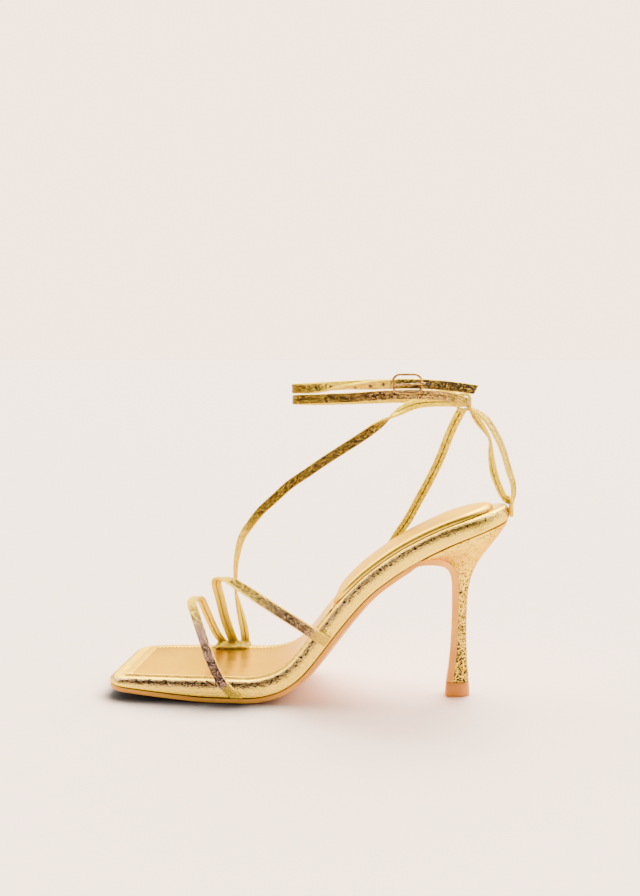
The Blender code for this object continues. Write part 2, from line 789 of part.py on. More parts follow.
def vamp_spine(lap, table, arch, far_end):
    """Spine of a vamp strap: near lap, arch, far end inside the tab."""
    depth = LAP_GAP + STRAP_THICK / 2
    seam_x = along_to_x(lap[0])
    edge_x = along_to_x(lap[1])
    low = wall_point(seam_x, -1, LAP_END, depth)
    high = wall_point(edge_x, -1, wall_height(edge_x), depth)
    middle = low.lerp(high, 0.5)
    tab_depth = LAP_GAP + TAB_THICK / 2
    end = edge_path(along_to_x(far_end), tab_depth)
    last = end[4][0]
    rows = [[*low, 0.0], [*middle, 0.0], [*high, 2.0]]
    for across, lean, up, angle in table:
        x = high.x + (last.x - high.x) * across - lean * FORE_REACH
        y = high.y + (last.y - high.y) * across
        z = high.z + (last.z - high.z) * across + up * arch
        rows.append([x, y, z, angle])
    rows.append([*last, 172.0])
    rows.append([*end[5][0], 180.0])
    rows.append([*end[5][0].lerp(end[6][0], TAB_REACH), 180.0])
    spine = []
    for x, y, z, angle in spline_points(rows, STRAP_STEP):
        face = Vector((0, -cos(radians(angle)), sin(radians(angle))))
        spine.append((Vector((x, y, z)), face))
    return spine


def tunnel_rows(layer, turn, sign):
    """Rows of the ankle strap inside the loop, at one of its two layers."""
    centre = ankle_place(*LOOP_PLACE)
    shift = (layer - 0.5) * (STRAP_THICK + LOOP_CLEAR)
    reach = LOOP_WIDTH / 2 + LOOP_LEAD
    rows = []
    for side in (-1, 0, 1):
        place = centre + Vector((shift, side * reach, 0))
        rows.append([*place, turn, sign])
    return rows


def ankle_spine():
    """Spine of the ankle strap from the tab to its punched tail."""
    tab_depth = LAP_GAP + TAB_THICK / 2
    end = edge_path(along_to_x(ANKLE_FAR_END), tab_depth)
    rows = [[*end[5][0].lerp(end[6][0], TAB_REACH), 90.0, 0.0]]
    rows.append([*end[5][0], 90.0, 0.0])
    rows.append([*end[4][0], 90.0, 4.0])
    rows += ankle_rows(CLIMB)
    rows += tunnel_rows(0, -180.0, -180.0)
    rows += ankle_rows(LOWER_TURN)
    rows += tunnel_rows(1, -540.0, -180.0)
    rows += ankle_rows(UPPER_TURN)
    return turned_spine(rows)


def loop_size():
    """Half sizes of the loop's middle line, along X and Z."""
    half_x = STRAP_THICK + 1.5 * LOOP_CLEAR + LOOP_WALL / 2
    half_z = STRAP_WIDTH / 2 + 1.6 * LOOP_CLEAR + LOOP_WALL / 2
    return half_x, half_z


def make_loop():
    """Short tunnel at the back of the ankle, round the strap's two layers."""
    centre = ankle_place(*LOOP_PLACE)
    half_x, half_z = loop_size()
    round_corner = LOOP_ROUND * half_x
    spine = []
    for corner_x, corner_z, start in ((1, 1, 0), (-1, 1, 90), (-1, -1, 180), (1, -1, 270)):
        for degrees in (0, 30, 60, 90):
            angle = radians(start + degrees)
            face = Vector((cos(angle), 0, sin(angle)))
            offset = Vector((
                corner_x * (half_x - round_corner), 0, corner_z * (half_z - round_corner),
            ))
            spine.append((centre + offset + face * round_corner, face))
    return strap_object("strap_loop", spine, width=LOOP_WIDTH, thick=LOOP_WALL, closed=True)


def waist_spine():
    """Spine of the waist strap, lapped over the far wall."""
    depth = LAP_GAP + STRAP_THICK / 2
    seam_x = along_to_x(WAIST_LAP[0])
    edge_x = along_to_x(WAIST_LAP[1])
    low = wall_point(seam_x, 1, LAP_END, depth)
    high = wall_point(edge_x, 1, wall_height(edge_x), depth)
    start = [[*low, 90.0, 0.0], [*low.lerp(high, 0.5), 90.0, 0.0], [*high, 90.0, 0.0]]
    _, half_z = loop_size()
    foot = ankle_place(*LOOP_PLACE) + Vector((*WAIST_FOOT, -half_z - LOOP_JOIN))
    return turned_spine(start + ankle_rows(WAIST_STRAP) + [[*foot, 92.0, 0.0]])


def heel_strap_spine(side, table):
    """Spine of a heel strap, lapped over the back wall of the seat."""
    point, _, normal = sole_frame(REAR_REACH)
    back = Vector((normal.z, 0, -normal.x))
    depth = LAP_GAP + GAP / 2 + STRAP_THICK / 2
    swing = HEEL_LAP_SIDE / seat_round()
    inset = seat_round() * (1 - cos(swing))
    turn = 180.0 - 180.0 / pi * swing
    start = []
    for height in (LAP_END, 0.5 * wall_height(REAR_REACH), wall_height(REAR_REACH)):
        place = point + normal * height + back * (depth * cos(swing) - inset)
        place.y = side * (HEEL_LAP_SIDE + depth * sin(swing))
        start.append([*place, side * turn, 0.0])
    half_x, half_z = loop_size()
    foot = ankle_place(*LOOP_PLACE)
    foot += Vector((half_x + LOOP_JOIN, side * HEEL_FOOT_SIDE, -HEEL_FOOT_DROP * half_z))
    return turned_spine(start + ankle_rows(table) + [[*foot, side * 165.0, 0.0]])


def union_of(name, objects):
    """Join overlapping pieces into one solid with live Booleans."""
    base = objects[0]
    base.name = name
    base.data.name = name
    for other in objects[1:]:
        joint = base.modifiers.new("join_" + other.name, "BOOLEAN")
        joint.operation = "UNION"
        joint.solver = "EXACT"
        joint.object = other
        sandal.objects.unlink(other)
        cutters.objects.link(other)
        other.hide_render = True
        other.display_type = "WIRE"
    return base


def make_front_straps():
    """Toe, instep and ankle straps, joined in the tab on the far side."""
    tab = make_tab()
    toe = strap_object("toe_strap", vamp_spine(TOE_LAP, TOE_STRAP, TOE_ARCH, TOE_FAR_END))
    instep = strap_object(
        "instep_strap", vamp_spine(INSTEP_LAP, INSTEP_STRAP, INSTEP_ARCH, INSTEP_FAR_END),
        width=INSTEP_WIDTH,
    )
    ankle = strap_object("ankle_strap", ankle_spine(), slant=TAIL_SLANT)
    return union_of("front_straps", [ankle, tab, instep, toe])


def make_back_straps():
    """Waist strap and two heel straps, joined in the loop."""
    loop = make_loop()
    waist = strap_object("waist_strap", waist_spine())
    near = strap_object("near_heel_strap", heel_strap_spine(-1, NEAR_HEEL_STRAP))
    far = strap_object("far_heel_strap", heel_strap_spine(1, FAR_HEEL_STRAP))
    return union_of("back_straps", [loop, waist, near, far])


def make_buckle_strap():
    """Short strap from the loop to the buckle, under the tail."""
    spine = turned_spine(ankle_rows(BUCKLE_STRAP))
    return strap_object(
        "buckle_strap", spine, width=BUCKLE_STRAP_WIDTH, thick=BUCKLE_STRAP_THICK,
    )


def wire_object(name, points, wire, cyclic, material):
    """Round wire along points, as a mesh with closed ends."""
    data = bpy.data.curves.new(name, "CURVE")
    data.dimensions = "3D"
    data.bevel_depth = wire / 2
    data.bevel_resolution = WIRE_STEPS
    data.use_fill_caps = True
    line = data.splines.new("POLY")
    line.points.add(len(points) - 1)
    for knot, point in zip(line.points, points):
        knot.co = (*point, 1)
    line.use_cyclic_u = cyclic
    curve = bpy.data.objects.new(name + "_curve", data)
    sandal.objects.link(curve)
    graph = bpy.context.evaluated_depsgraph_get()
    mesh = bpy.data.meshes.new_from_object(curve.evaluated_get(graph))
    bm = bmesh.new()
    bm.from_mesh(mesh)
    bmesh.ops.remove_doubles(bm, verts=bm.verts, dist=WELD)
    bpy.data.objects.remove(curve)
    bpy.data.meshes.remove(mesh)
    return add_object(name, bm, material)


def buckle_middle():
    """Middle of the buckle, in front of the ankle strap's outer face."""
    near_side = [row for row in UPPER_TURN if row[1] < 0]
    row = min(near_side, key=lambda r: abs(r[0] - BUCKLE_PLACE))
    middle = ankle_place(*row[:3])
    middle.x = BUCKLE_PLACE * ANKLE_LENGTH
    middle.y -= STRAP_THICK / 2 + GAP + BUCKLE_WIRE / 2
    return middle


def make_buckle_frame():
    """Rounded wire frame of the buckle."""
    middle = buckle_middle()
    half_x = (BUCKLE_LENGTH - BUCKLE_WIRE) / 2
    half_z = (BUCKLE_HEIGHT - BUCKLE_WIRE) / 2
    points = []
    for corner_x, corner_z, start in ((1, 1, 0), (-1, 1, 90), (-1, -1, 180), (1, -1, 270)):
        for degrees in (0, 22.5, 45, 67.5, 90):
            angle = radians(start + degrees)
            x = corner_x * (half_x - BUCKLE_CORNER) + BUCKLE_CORNER * cos(angle)
            z = corner_z * (half_z - BUCKLE_CORNER) + BUCKLE_CORNER * sin(angle)
            points.append(middle + Vector((x, 0, z)))
    return wire_object("buckle_frame", points, BUCKLE_WIRE, True, gold_metal)


def make_buckle_prong():
    """Pin of the buckle, which rests on the frame's front bar."""
    middle = buckle_middle()
    lift = (BUCKLE_WIRE + PRONG_WIRE) / 2 + GAP
    points = []
    for along, out, drop in PRONG:
        offset = Vector((along * BUCKLE_LENGTH / 2, -out * lift, -drop * PRONG_WIRE))
        points.append(middle + offset)
    return wire_object("buckle_prong", points, PRONG_WIRE, False, gold_metal)


def new_material(name, colour, roughness, metallic):
    """Principled material with a plain colour."""
    material = bpy.data.materials.new(name)
    material.use_nodes = True
    shader = material.node_tree.nodes["Principled BSDF"]
    shader.inputs["Base Color"].default_value = (*colour, 1)
    shader.inputs["Roughness"].default_value = roughness
    shader.inputs["Metallic"].default_value = metallic
    material.diffuse_color = (*colour, 1)
    return material


for old in list(bpy.data.objects):
    bpy.data.objects.remove(old)
sandal = bpy.data.collections.new("heeled_sandal")
cutters = bpy.data.collections.new("cutters")
bpy.context.scene.collection.children.link(sandal)
bpy.context.scene.collection.children.link(cutters)

wrapped_foil = new_material("wrapped_foil", (0.86, 0.68, 0.33), 0.35, 0.9)
padded_foil = new_material("padded_foil", (0.84, 0.64, 0.34), 0.4, 0.8)
satin_sock = new_material("satin_sock", (0.88, 0.66, 0.33), 0.28, 0.8)
strap_foil = new_material("strap_foil", (0.80, 0.58, 0.26), 0.35, 0.9)
tan_sole = new_material("tan_sole", (0.62, 0.30, 0.12), 0.5, 0.0)
gold_metal = new_material("gold_metal", (0.90, 0.66, 0.30), 0.18, 1.0)

make_outsole()
make_midsole()
make_insole_sock()
make_heel_pad()
make_heel()
make_top_piece()
make_front_straps()
make_back_straps()
make_buckle_strap()
make_buckle_frame()
make_buckle_prong()
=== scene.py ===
# %% [markdown]
# # A gold strappy sandal on a slim heel
#
# This lesson dresses one women's sandal. Its measured solids come from a
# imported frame, and each cell below replaces one of them with the piece a
# shoemaker would cut: a platform wrapped in foil leather, a glossy sock, a
# soft heel pad, folded straps, a tan sole and a wire buckle. All lengths are
# in metres, the toe points along -X, and the floor is at Z = 0.

# %% Load the frame
import math

import bmesh
import bpy
import numpy as np
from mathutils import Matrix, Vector


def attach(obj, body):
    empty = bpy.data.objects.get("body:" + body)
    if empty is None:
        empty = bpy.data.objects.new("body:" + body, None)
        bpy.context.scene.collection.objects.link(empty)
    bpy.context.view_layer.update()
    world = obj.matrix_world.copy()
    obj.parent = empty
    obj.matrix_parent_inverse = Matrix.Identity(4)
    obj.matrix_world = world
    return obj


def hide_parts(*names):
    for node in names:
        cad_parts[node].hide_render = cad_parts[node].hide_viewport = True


MM = 0.001
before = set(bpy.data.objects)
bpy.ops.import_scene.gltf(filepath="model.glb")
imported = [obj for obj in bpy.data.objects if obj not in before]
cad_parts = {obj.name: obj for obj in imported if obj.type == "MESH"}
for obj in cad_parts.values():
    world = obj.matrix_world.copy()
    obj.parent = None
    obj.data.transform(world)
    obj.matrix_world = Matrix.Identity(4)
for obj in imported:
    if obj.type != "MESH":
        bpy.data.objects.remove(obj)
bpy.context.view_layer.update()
print("frame nodes:", sorted(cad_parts))

# %% [markdown]
# ## Camera
#
# The sandal is seen from its inner side, from a little above the floor. The
# lens is given for the upright picture: 36 mm of sensor over its height.

# %% Place the camera
CAMERA_PLACE = Vector((-8.8, -636.5, 184.6)) * MM
CAMERA_TARGET = Vector((-75.7, 0.0, 134.6)) * MM
SENSOR_HEIGHT = 36.0
LENS = 47.2


def new_object(name, data):
    """An object of a mesh, a lamp or a camera, put in the scene."""
    made = bpy.data.objects.new(name, data)
    bpy.context.scene.collection.objects.link(made)
    return made


camera_data = bpy.data.cameras.new("camera")
camera_data.sensor_fit = "VERTICAL"
camera_data.sensor_height = SENSOR_HEIGHT
camera_data.lens = LENS
camera_data.clip_start = 0.02
camera_data.clip_end = 500.0
camera = new_object("camera", camera_data)
camera.location = CAMERA_PLACE
camera.rotation_euler = (CAMERA_TARGET - CAMERA_PLACE).to_track_quat("-Z", "Y").to_euler()
bpy.context.scene.camera = camera

# %% [markdown]
# ## Shader arithmetic
#
# A material is easier to read as a formula than as a picture of wires. This
# class wraps one socket. Python's operators add Math nodes, and `node` adds
# any other node.


# %% Wrap a socket so that it takes part in arithmetic
class Shade:
    """One output socket of a node tree, used like a number or a colour."""

    def __init__(self, tree, socket=None):
        self.tree = tree
        self.socket = socket

    def node(self, kind, settings=None, output=0, **inputs):
        """Add a node: its settings first, then its sockets, `i0` by number."""
        made = self.tree.nodes.new(kind)
        for name, value in (settings or {}).items():
            setattr(made, name, value)
        for name, value in inputs.items():
            key = int(name[1:]) if name[0] == "i" and name[1:].isdigit() else name
            self.feed(made.inputs[key], value)
        return Shade(self.tree, made.outputs[output])

    def feed(self, target, value):
        """Link another socket to a target, or give it a plain value."""
        if isinstance(value, Shade):
            self.tree.links.new(value.socket, target)
        elif target.type == "RGBA":
            target.default_value = (*value, 1.0)
        else:
            target.default_value = value

    def math(self, operation, first, second=0.0):
        return self.node("ShaderNodeMath", {"operation": operation}, i0=first, i1=second)

    def __add__(self, other):
        return self.math("ADD", self, other)

    __radd__ = __add__

    def __sub__(self, other):
        return self.math("SUBTRACT", self, other)

    def __rsub__(self, other):
        return self.math("SUBTRACT", other, self)

    def __mul__(self, other):
        return self.math("MULTIPLY", self, other)

    __rmul__ = __mul__

    def __abs__(self):
        return self.math("ABSOLUTE", self)

    def step(self, low, high):
        """0 below low, 1 above high, and smooth between them."""
        settings = {"interpolation_type": "SMOOTHSTEP"}
        return self.node("ShaderNodeMapRange", settings, i0=self, i1=low, i2=high)

    def mix(self, first, second):
        """Mix two colours, with this value as the share of the second."""
        settings = {"data_type": "RGBA"}
        return self.node("ShaderNodeMix", settings, output=2, i0=self, i6=first, i7=second)

    def noise(self, scale, detail):
        """Soft noise over this place."""
        return self.node("ShaderNodeTexNoise", Vector=self, Scale=scale, Detail=detail)

    def at(self, name):
        """A number stored on the points of the mesh."""
        return self.node("ShaderNodeAttribute", {"attribute_name": name}, output="Fac")


def new_material(name):
    """An empty material, the place on the object, and the main shader."""
    material = bpy.data.materials.new(name)
    material.use_nodes = True
    tree = material.node_tree
    place = Shade(tree).node("ShaderNodeTexCoord", output="Object")
    return material, place, tree.nodes["Principled BSDF"]


def finish(shader, tint, rough, metallic, height=None, relief=0.0, depth=0.0, edge=None):
    """Give a shader its colour, roughness, metal, relief and edge colour."""
    values = {"Base Color": tint, "Roughness": rough, "Metallic": metallic}
    if height is not None:
        values["Normal"] = tint.node(
            "ShaderNodeBump", Height=height, Strength=relief, Distance=depth)
    if edge:
        values["Specular Tint"] = edge
    for name, value in values.items():
        tint.feed(shader.inputs[name], value)


# %% [markdown]
# ## Foil leather
#
# The gold is a thin foil pressed on leather. When it is bent it breaks into
# grains about half a millimetre wide, and each grain tips its own way. Where
# the room is pale on all sides this hardly shows. Where a face mirrors the
# dim side of the room, the tipped grains catch light and the foil looks
# crackled. Dark lines mark the seams: `rise` is the distance from one.


# %% Mix the foil
GOLD = (0.97, 0.69, 0.045)
DEEP_GOLD = (0.95, 0.74, 0.006)
PALE_GOLD = (0.86, 0.56, 0.04)
BRONZE = (0.042, 0.032, 0.018)
OLIVE = (0.32, 0.23, 0.06)
MAUVE = (0.74, 0.44, 0.36)
SEAM_BROWN = (0.04, 0.017, 0.003)
EDGE_TINT = (0.85, 0.55, 0.10)
CREASES = (850.0, 250.0, 200.0)
FOIL_DEPTH = 0.3 * MM


def grains(place, grain):
    """Cells of the foil: their rounded height, their cracks and a fleck."""
    kind = "ShaderNodeTexVoronoi"
    cell = place.node(kind, output="Distance", Vector=place, Scale=1 / grain)
    edge = place.node(
        kind, {"feature": "DISTANCE_TO_EDGE"}, Vector=place, Scale=1 / grain)
    fleck = place.node(kind, output="Color", Vector=place, Scale=1.25 / grain)
    fleck = fleck.node("ShaderNodeSeparateColor", i0=fleck)
    return cell, 1.0 - edge.step(0.0, 0.12), fleck


def crackled(gold, fleck, cracks, wear):
    """Tint of the foil: with more `wear`, more of its grains are dark, partly as wear and partly
    as a painted dark reflection.
    """
    dark = (fleck + wear * 0.85 - 1.0).step(0.0, 0.10)
    lit = (wear.step(0.45, 1.0) * 0.35).mix(gold, OLIVE)
    lit = (wear.at("blush") * wear.step(0.1, 0.5)).mix(lit, MAUVE)
    lit = (cracks * 0.35).mix(lit, BRONZE)
    return dark.mix(lit, BRONZE)


def foil_leather(name, gold, grain, relief, rough, base_wear, seam, crease=0.0):
    """Gold foil with grains, creases and a dark line where `rise` is small."""
    material, place, shader = new_material(name)
    cell, cracks, fleck = grains(place, grain)
    cloud = place.noise(60.0, 3.0)
    fine = place.noise(1.4 / grain, 3.0)
    base = (cloud * 0.5 + fine * 0.5).step(0.3, 0.7).mix(
        [0.88 * part for part in gold], gold)
    # Painted reflection: the stored number paints dark grains in zones, and random patches of
    # wear are added to it.
    wear = place.at("wear") + cloud.step(0.4, 0.7) * base_wear
    tint = crackled(base, fleck, cracks * cloud.step(0.3, 0.6), wear)
    line = 1.0 - place.at("rise").step(0.3 * seam, seam)
    height = fine * 0.8 - cell - cracks * 0.3
    if crease:
        run = place.node(
            "ShaderNodeVectorMath", {"operation": "MULTIPLY"}, i0=place, i1=CREASES)
        height = height + run.noise(1.0, 3.0) * crease
    finish(shader, line.mix(tint, SEAM_BROWN), rough + fine * 0.08, 1.0,
           height, relief, FOIL_DEPTH, EDGE_TINT)
    return material


wall_foil = foil_leather(
    "wall_foil", GOLD, grain=0.65 * MM, relief=0.36, rough=0.11, base_wear=0.10,
    seam=0.55 * MM, crease=0.3)
heel_foil = foil_leather(
    "heel_foil", GOLD, grain=0.65 * MM, relief=0.50, rough=0.12, base_wear=0.12,
    seam=0.9 * MM, crease=0.3)
pad_foil = foil_leather(
    "pad_foil", PALE_GOLD, grain=0.7 * MM, relief=0.12, rough=0.28, base_wear=0.05,
    seam=0.45 * MM)
print("foils mixed:", wall_foil.name, heel_foil.name, pad_foil.name)

# %% [markdown]
# ## Strap foil
#
# A strap is one strip folded over from both sides, so its inner face has a
# seam down the middle where the two folds meet. The sweep below stores
# `across`, the distance from the middle, `inside`, which is 1 on the inner
# face, `wear`, which grows where more grains of the
# foil are dark, partly wear and partly a painted dark reflection, and
# `blush`, which turns the grains between them from gold to mauve.


# %% Mix the strap foil
STRAP_WIDTH = 5.2 * MM
STRAP_EDGE_TINT = (0.50, 0.38, 0.17)


def strap_leather(name, grain, relief):
    """Crackled foil on the outer face, deep gold with a seam on the inner."""
    material, place, shader = new_material(name)
    inside = place.at("inside").step(0.35, 0.65)
    across = abs(place.at("across"))
    cell, cracks, fleck = grains(place, grain)
    fine = place.noise(1.4 / grain, 3.0)
    rim = across.step(STRAP_WIDTH * 0.43, STRAP_WIDTH * 0.49)
    # Painted reflection: the stored number paints dark grains in zones along the strap, less on
    # the rims and the inner face.
    wear = place.at("wear") * (1.0 - inside * 0.55) * (1.0 - rim)
    seam = (1.0 - across.step(0.10 * MM, 0.34 * MM)) * inside
    tint = crackled(inside.mix(GOLD, DEEP_GOLD), fleck, cracks, wear)
    height = (fine * 0.8 - cell - cracks * 0.4) * (1.0 - inside * 0.4)
    finish(shader, seam.mix(tint, SEAM_BROWN), 0.13 + fine * 0.08 + inside * 0.10, 1.0,
           height, relief, FOIL_DEPTH, STRAP_EDGE_TINT)
    return material


strap_foil = strap_leather("strap_foil_worn", grain=0.42 * MM, relief=0.9)

# %% [markdown]
# ## Sock, sole leather, thread and metal
#
# The sock is pressed flat under heat, so it mirrors the straps above it. The
# sole is plain tan leather with a waxed edge. The buckle is polished wire.


# %% Mix the other finishes
def glossy_sock():
    """Pressed panel, glossy inside its border, where `panel` is 1."""
    material, place, shader = new_material("sock_gloss")
    panel = place.at("panel").step(0.3, 0.7)
    cell, _, fleck = grains(place, 0.8 * MM)
    cloud = place.noise(45.0, 3.0)
    grain = place.noise(1400.0, 2.0)
    tint = cloud.mix((0.58, 0.345, 0.010), (0.68, 0.42, 0.014))
    border = (fleck.step(0.6, 0.9) * 0.5).mix((0.90, 0.60, 0.05), BRONZE)
    height = cloud * 2.0 * panel + (grain * 0.3 - cell) * (1.0 - panel)
    finish(shader, panel.mix(border, tint), 0.20 + cloud * 0.10 + grain * 0.04, 1.0,
           height, 0.25, 0.25 * MM, EDGE_TINT)
    return material


def sole_leather(name, base, dark):
    """Plain leather, a little cloudy, with pores."""
    material, place, shader = new_material(name)
    cloud = place.noise(60.0, 5.0)
    pores = place.noise(1600.0, 3.0)
    tint = (cloud * 0.7 + pores * 0.3).step(0.3, 0.7).mix(dark, base)
    finish(shader, tint, 0.42 + pores * 0.18, 0.0, pores, 0.15, 0.1 * MM)
    shader.inputs["Specular IOR Level"].default_value = 0.3
    return material


def polished_wire():
    """Gold metal with a faint haze from handling."""
    material, place, shader = new_material("buckle_gold")
    haze = place.noise(500.0, 3.0)
    tint = haze.step(0.35, 0.65).mix((0.16, 0.085, 0.02), (0.46, 0.27, 0.06))
    finish(shader, tint, 0.04 + haze * 0.10, 1.0)
    return material


def plain_thread(name, base, metallic):
    """Matt thread, or the painted shade inside a hole."""
    material, place, shader = new_material(name)
    twist = place.noise(3000.0, 2.0)
    tint = twist.mix([0.7 * part for part in base], base)
    finish(shader, tint, 0.45 + twist * 0.2, metallic)
    return material


sock_gloss = glossy_sock()
tan_leather = sole_leather("tan_leather", (0.82, 0.39, 0.03), (0.62, 0.27, 0.015))
tip_rubber = sole_leather("tip_rubber", (0.62, 0.24, 0.025), (0.48, 0.17, 0.012))
buckle_gold = polished_wire()
gold_thread = plain_thread("gold_thread", (0.30, 0.15, 0.03), 0.6)
hole_painted_shade = plain_thread("hole_painted_shade", (0.09, 0.05, 0.02), 0.0)

# %% [markdown]
# ## The shape of the sole
#
# Everything hangs on one profile: how the platform lies flat under the toes,
# climbs the waist and levels out under the heel. Rows in the tables are
# shares of the named sizes. A monotone curve runs through them, and a short
# blur takes out the last kinks, which glossy foil would show.


# %% Sizes and tables of the sole
FORE_REACH = 189.5 * MM
REAR_REACH = 27.0 * MM
SEAT_RISE = 98.0 * MM
BALL_WIDTH = 83.5 * MM
TOE_SPRING = 4.9 * MM
TOE_CORNER = 10.0 * MM
SEAT_ROUND = 0.96
PLATFORM = 9.5 * MM
EDGE_ROUND = 3.0 * MM
WRAP_INSET = 3.6 * MM
WRAP_DROP = 5.6 * MM
LOWER_ROUND = 0.7 * MM
OUTSOLE_THICK = 2.4 * MM
OUTSOLE_INSET = 0.5 * MM
OUTSOLE_CROWN = 2.4 * MM
FLAP_THICK = 2.0 * MM
FLAP_LEAD = 2.5 * MM
GAP = 0.3 * MM
FINE_STEP = 1.5 * MM
FLAT_LEVEL = OUTSOLE_THICK + GAP

PROFILE = [
    # along, rise, spring, wall, crown
    (-1, 0, 1, 0.44, 0),
    (-0.971, 0, 0.83, 0.5, 0),
    (-0.897, 0, 0.54, 0.67, 0),
    (-0.781, 0, 0.17, 0.88, 0),
    (-0.697, 0, 0, 0.98, 0),
    (-0.591, 0, 0, 0.98, 0),
    (-0.556, 0.007, 0, 0.98, 0.13),
    (-0.501, 0.037, 0, 0.98, 0.6),
    (-0.465, 0.077, 0, 0.97, 0.9),
    (-0.434, 0.128, 0, 0.96, 1),
    (-0.388, 0.24, 0, 0.96, 1),
    (-0.342, 0.362, 0, 0.98, 1),
    (-0.296, 0.477, 0, 0.98, 0.95),
    (-0.243, 0.591, 0, 0.98, 0.75),
    (-0.189, 0.677, 0, 0.99, 0.4),
    (-0.137, 0.748, 0, 1, 0.1),
    (-0.064, 0.831, 0, 0.98, 0),
    (0, 0.892, 0, 0.95, 0),
    (0.433, 0.941, 0, 0.89, 0),
    (1, 1, 0, 0.86, 0),
]

WIDTHS = [
    # along, near, far
    (-1, 0.341, 0.539),
    (-0.897, 0.359, 0.581),
    (-0.781, 0.371, 0.599),
    (-0.697, 0.377, 0.611),
    (-0.591, 0.377, 0.623),
    (-0.501, 0.365, 0.599),
    (-0.434, 0.347, 0.533),
    (-0.342, 0.323, 0.413),
    (-0.243, 0.309, 0.323),
    (-0.137, 0.305, 0.299),
    (0, 0.311, 0.311),
    (1, 0.287, 0.287),
]


def along_to_x(along):
    """Turn a share along the sole into a place on the X axis."""
    return along * (FORE_REACH if along < 0 else REAR_REACH)


def hermite(t, span, start, end, leave, arrive):
    """Value at a share t of a span, between two values with their slopes."""
    low = (1 + 2 * t) * (1 - t) ** 2 * start + t * (1 - t) ** 2 * span * leave
    high = t * t * (3 - 2 * t) * end + t * t * (t - 1) * span * arrive
    return low + high


def smooth_curve(keys, values):
    """A function that runs smoothly through values, without overshoot."""
    steps = np.diff(values) / np.diff(keys)
    slopes = [steps[0]]
    for before, after in zip(steps, steps[1:]):
        agree = before * after > 0
        slopes.append(2 * before * after / (before + after) if agree else 0.0)
    slopes.append(steps[-1])

    def value(key):
        key = min(max(key, keys[0]), keys[-1])
        i = max(k for k in range(len(keys) - 1) if keys[k] <= key)
        span = keys[i + 1] - keys[i]
        return hermite((key - keys[i]) / span, span, *values[i:i + 2], *slopes[i:i + 2])

    return value


def blurred(keys, values, blur=2.5 * MM, grain=0.5 * MM):
    """The same curve, sampled finely and softened over a short length."""
    curve = smooth_curve(keys, values)
    places = np.arange(keys[0], keys[-1] + grain / 2, grain)
    samples = np.array([curve(x) for x in places])
    reach = int(4 * blur / grain)
    weights = np.exp(-0.5 * (np.arange(-reach, reach + 1) * grain / blur) ** 2)
    weights /= weights.sum()
    before = samples[0] + (samples[1] - samples[0]) * np.arange(-reach, 0)
    after = samples[-1] + (samples[-1] - samples[-2]) * np.arange(1, reach + 1)
    soft = np.convolve(np.concatenate([before, samples, after]), weights, mode="valid")
    return lambda x: float(np.interp(x, places, soft))


profile_x = [along_to_x(row[0]) for row in PROFILE]
width_x = [along_to_x(row[0]) for row in WIDTHS]
underside = blurred(profile_x, [
    FLAT_LEVEL + row[1] * (SEAT_RISE - FLAT_LEVEL) + row[2] * TOE_SPRING for row in PROFILE
])
wall_height = blurred(profile_x, [row[3] * PLATFORM for row in PROFILE])
crown_height = blurred(profile_x, [row[4] * OUTSOLE_CROWN for row in PROFILE])
near_width = blurred(width_x, [row[1] * BALL_WIDTH for row in WIDTHS])
far_width = blurred(width_x, [row[2] * BALL_WIDTH for row in WIDTHS])
seat_round = SEAT_ROUND * min(near_width(REAR_REACH), far_width(REAR_REACH))


def sole_frame(x):
    """Point and normal of the underside, upright at the back end."""
    low = max(x - 0.8 * MM, -FORE_REACH)
    high = min(x + 0.8 * MM, REAR_REACH)
    run = Vector((high - low, 0, underside(high) - underside(low))).normalized()
    upright = max(x / REAR_REACH, 0.0)
    normal = Vector((-run.z, 0, run.x)).lerp(Vector((0, 0, 1)), upright).normalized()
    return Vector((x, 0, underside(x))), normal


def on_sole(x, y, height):
    """Place a point over the underside, with its height along the normal."""
    point, normal = sole_frame(x)
    return point + normal * height + Vector((0, y, 0))


def quarter(steps):
    """Insets and drops of a quarter circle of radius 1, from its side up."""
    angles = [math.pi / 2 * i / steps for i in range(steps + 1)]
    return [(1 - math.cos(angle), 1 - math.sin(angle)) for angle in angles]


print("underside at the ball and the seat, mm:",
      round(underside(-0.12) / MM, 2), round(underside(0.0) / MM, 2))

# %% [markdown]
# ## One helper for skins
#
# A platform, a heel and a strap are all rows of rings. `skin` joins the
# rings with faces, closes the two ends, and stores numbers such as `across`
# on the points, where a material can read them.


# %% Skin rings of points
def skin(name, rings, material, wrapped=False, caps="fan", marks=None, angle=40):
    """Mesh of rings that have the same number of points."""
    size = len(rings[0])
    bm = bmesh.new()
    loops = [[bm.verts.new(point) for point in ring] for ring in rings]
    pairs = list(zip(loops, loops[1:]))
    if wrapped:
        pairs.append((loops[-1], loops[0]))
    for one, other in pairs:
        for i in range(size):
            j = (i + 1) % size
            bm.faces.new((one[i], one[j], other[j], other[i]))
    if not wrapped:
        for loop in (loops[0], loops[-1]):
            if caps == "strips":
                for i in range(size // 2 - 1):
                    bm.faces.new((
                        loop[i], loop[i + 1], loop[size - 2 - i], loop[size - 1 - i]))
            else:
                bm.faces.new(loop)
    bmesh.ops.recalc_face_normals(bm, faces=bm.faces)
    mesh = bpy.data.meshes.new(name)
    bm.to_mesh(mesh)
    bm.free()
    for mark, values in (marks or {}).items():
        layer = mesh.attributes.new(mark, "FLOAT", "POINT")
        layer.data.foreach_set("value", np.array(values, np.float32).ravel())
    mesh.shade_smooth()
    mesh.set_sharp_from_angle(angle=math.radians(angle))
    mesh.materials.append(material)
    return new_object(name, mesh)


def settle(piece, slot, *nodes):
    """Ride on the frame and stand for CAD nodes; `slot` is not used."""
    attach(piece, "root")
    if nodes:
        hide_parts(*nodes)
    print(piece.name, len(piece.data.polygons), "faces")
    return piece


# %% [markdown]
# ## Platform, sock and pad
#
# These three are flat pieces with a rounded plan. Their outline is a near and
# a far edge with rounded corners, and each layer is that outline moved in by
# a distance and up by a height.


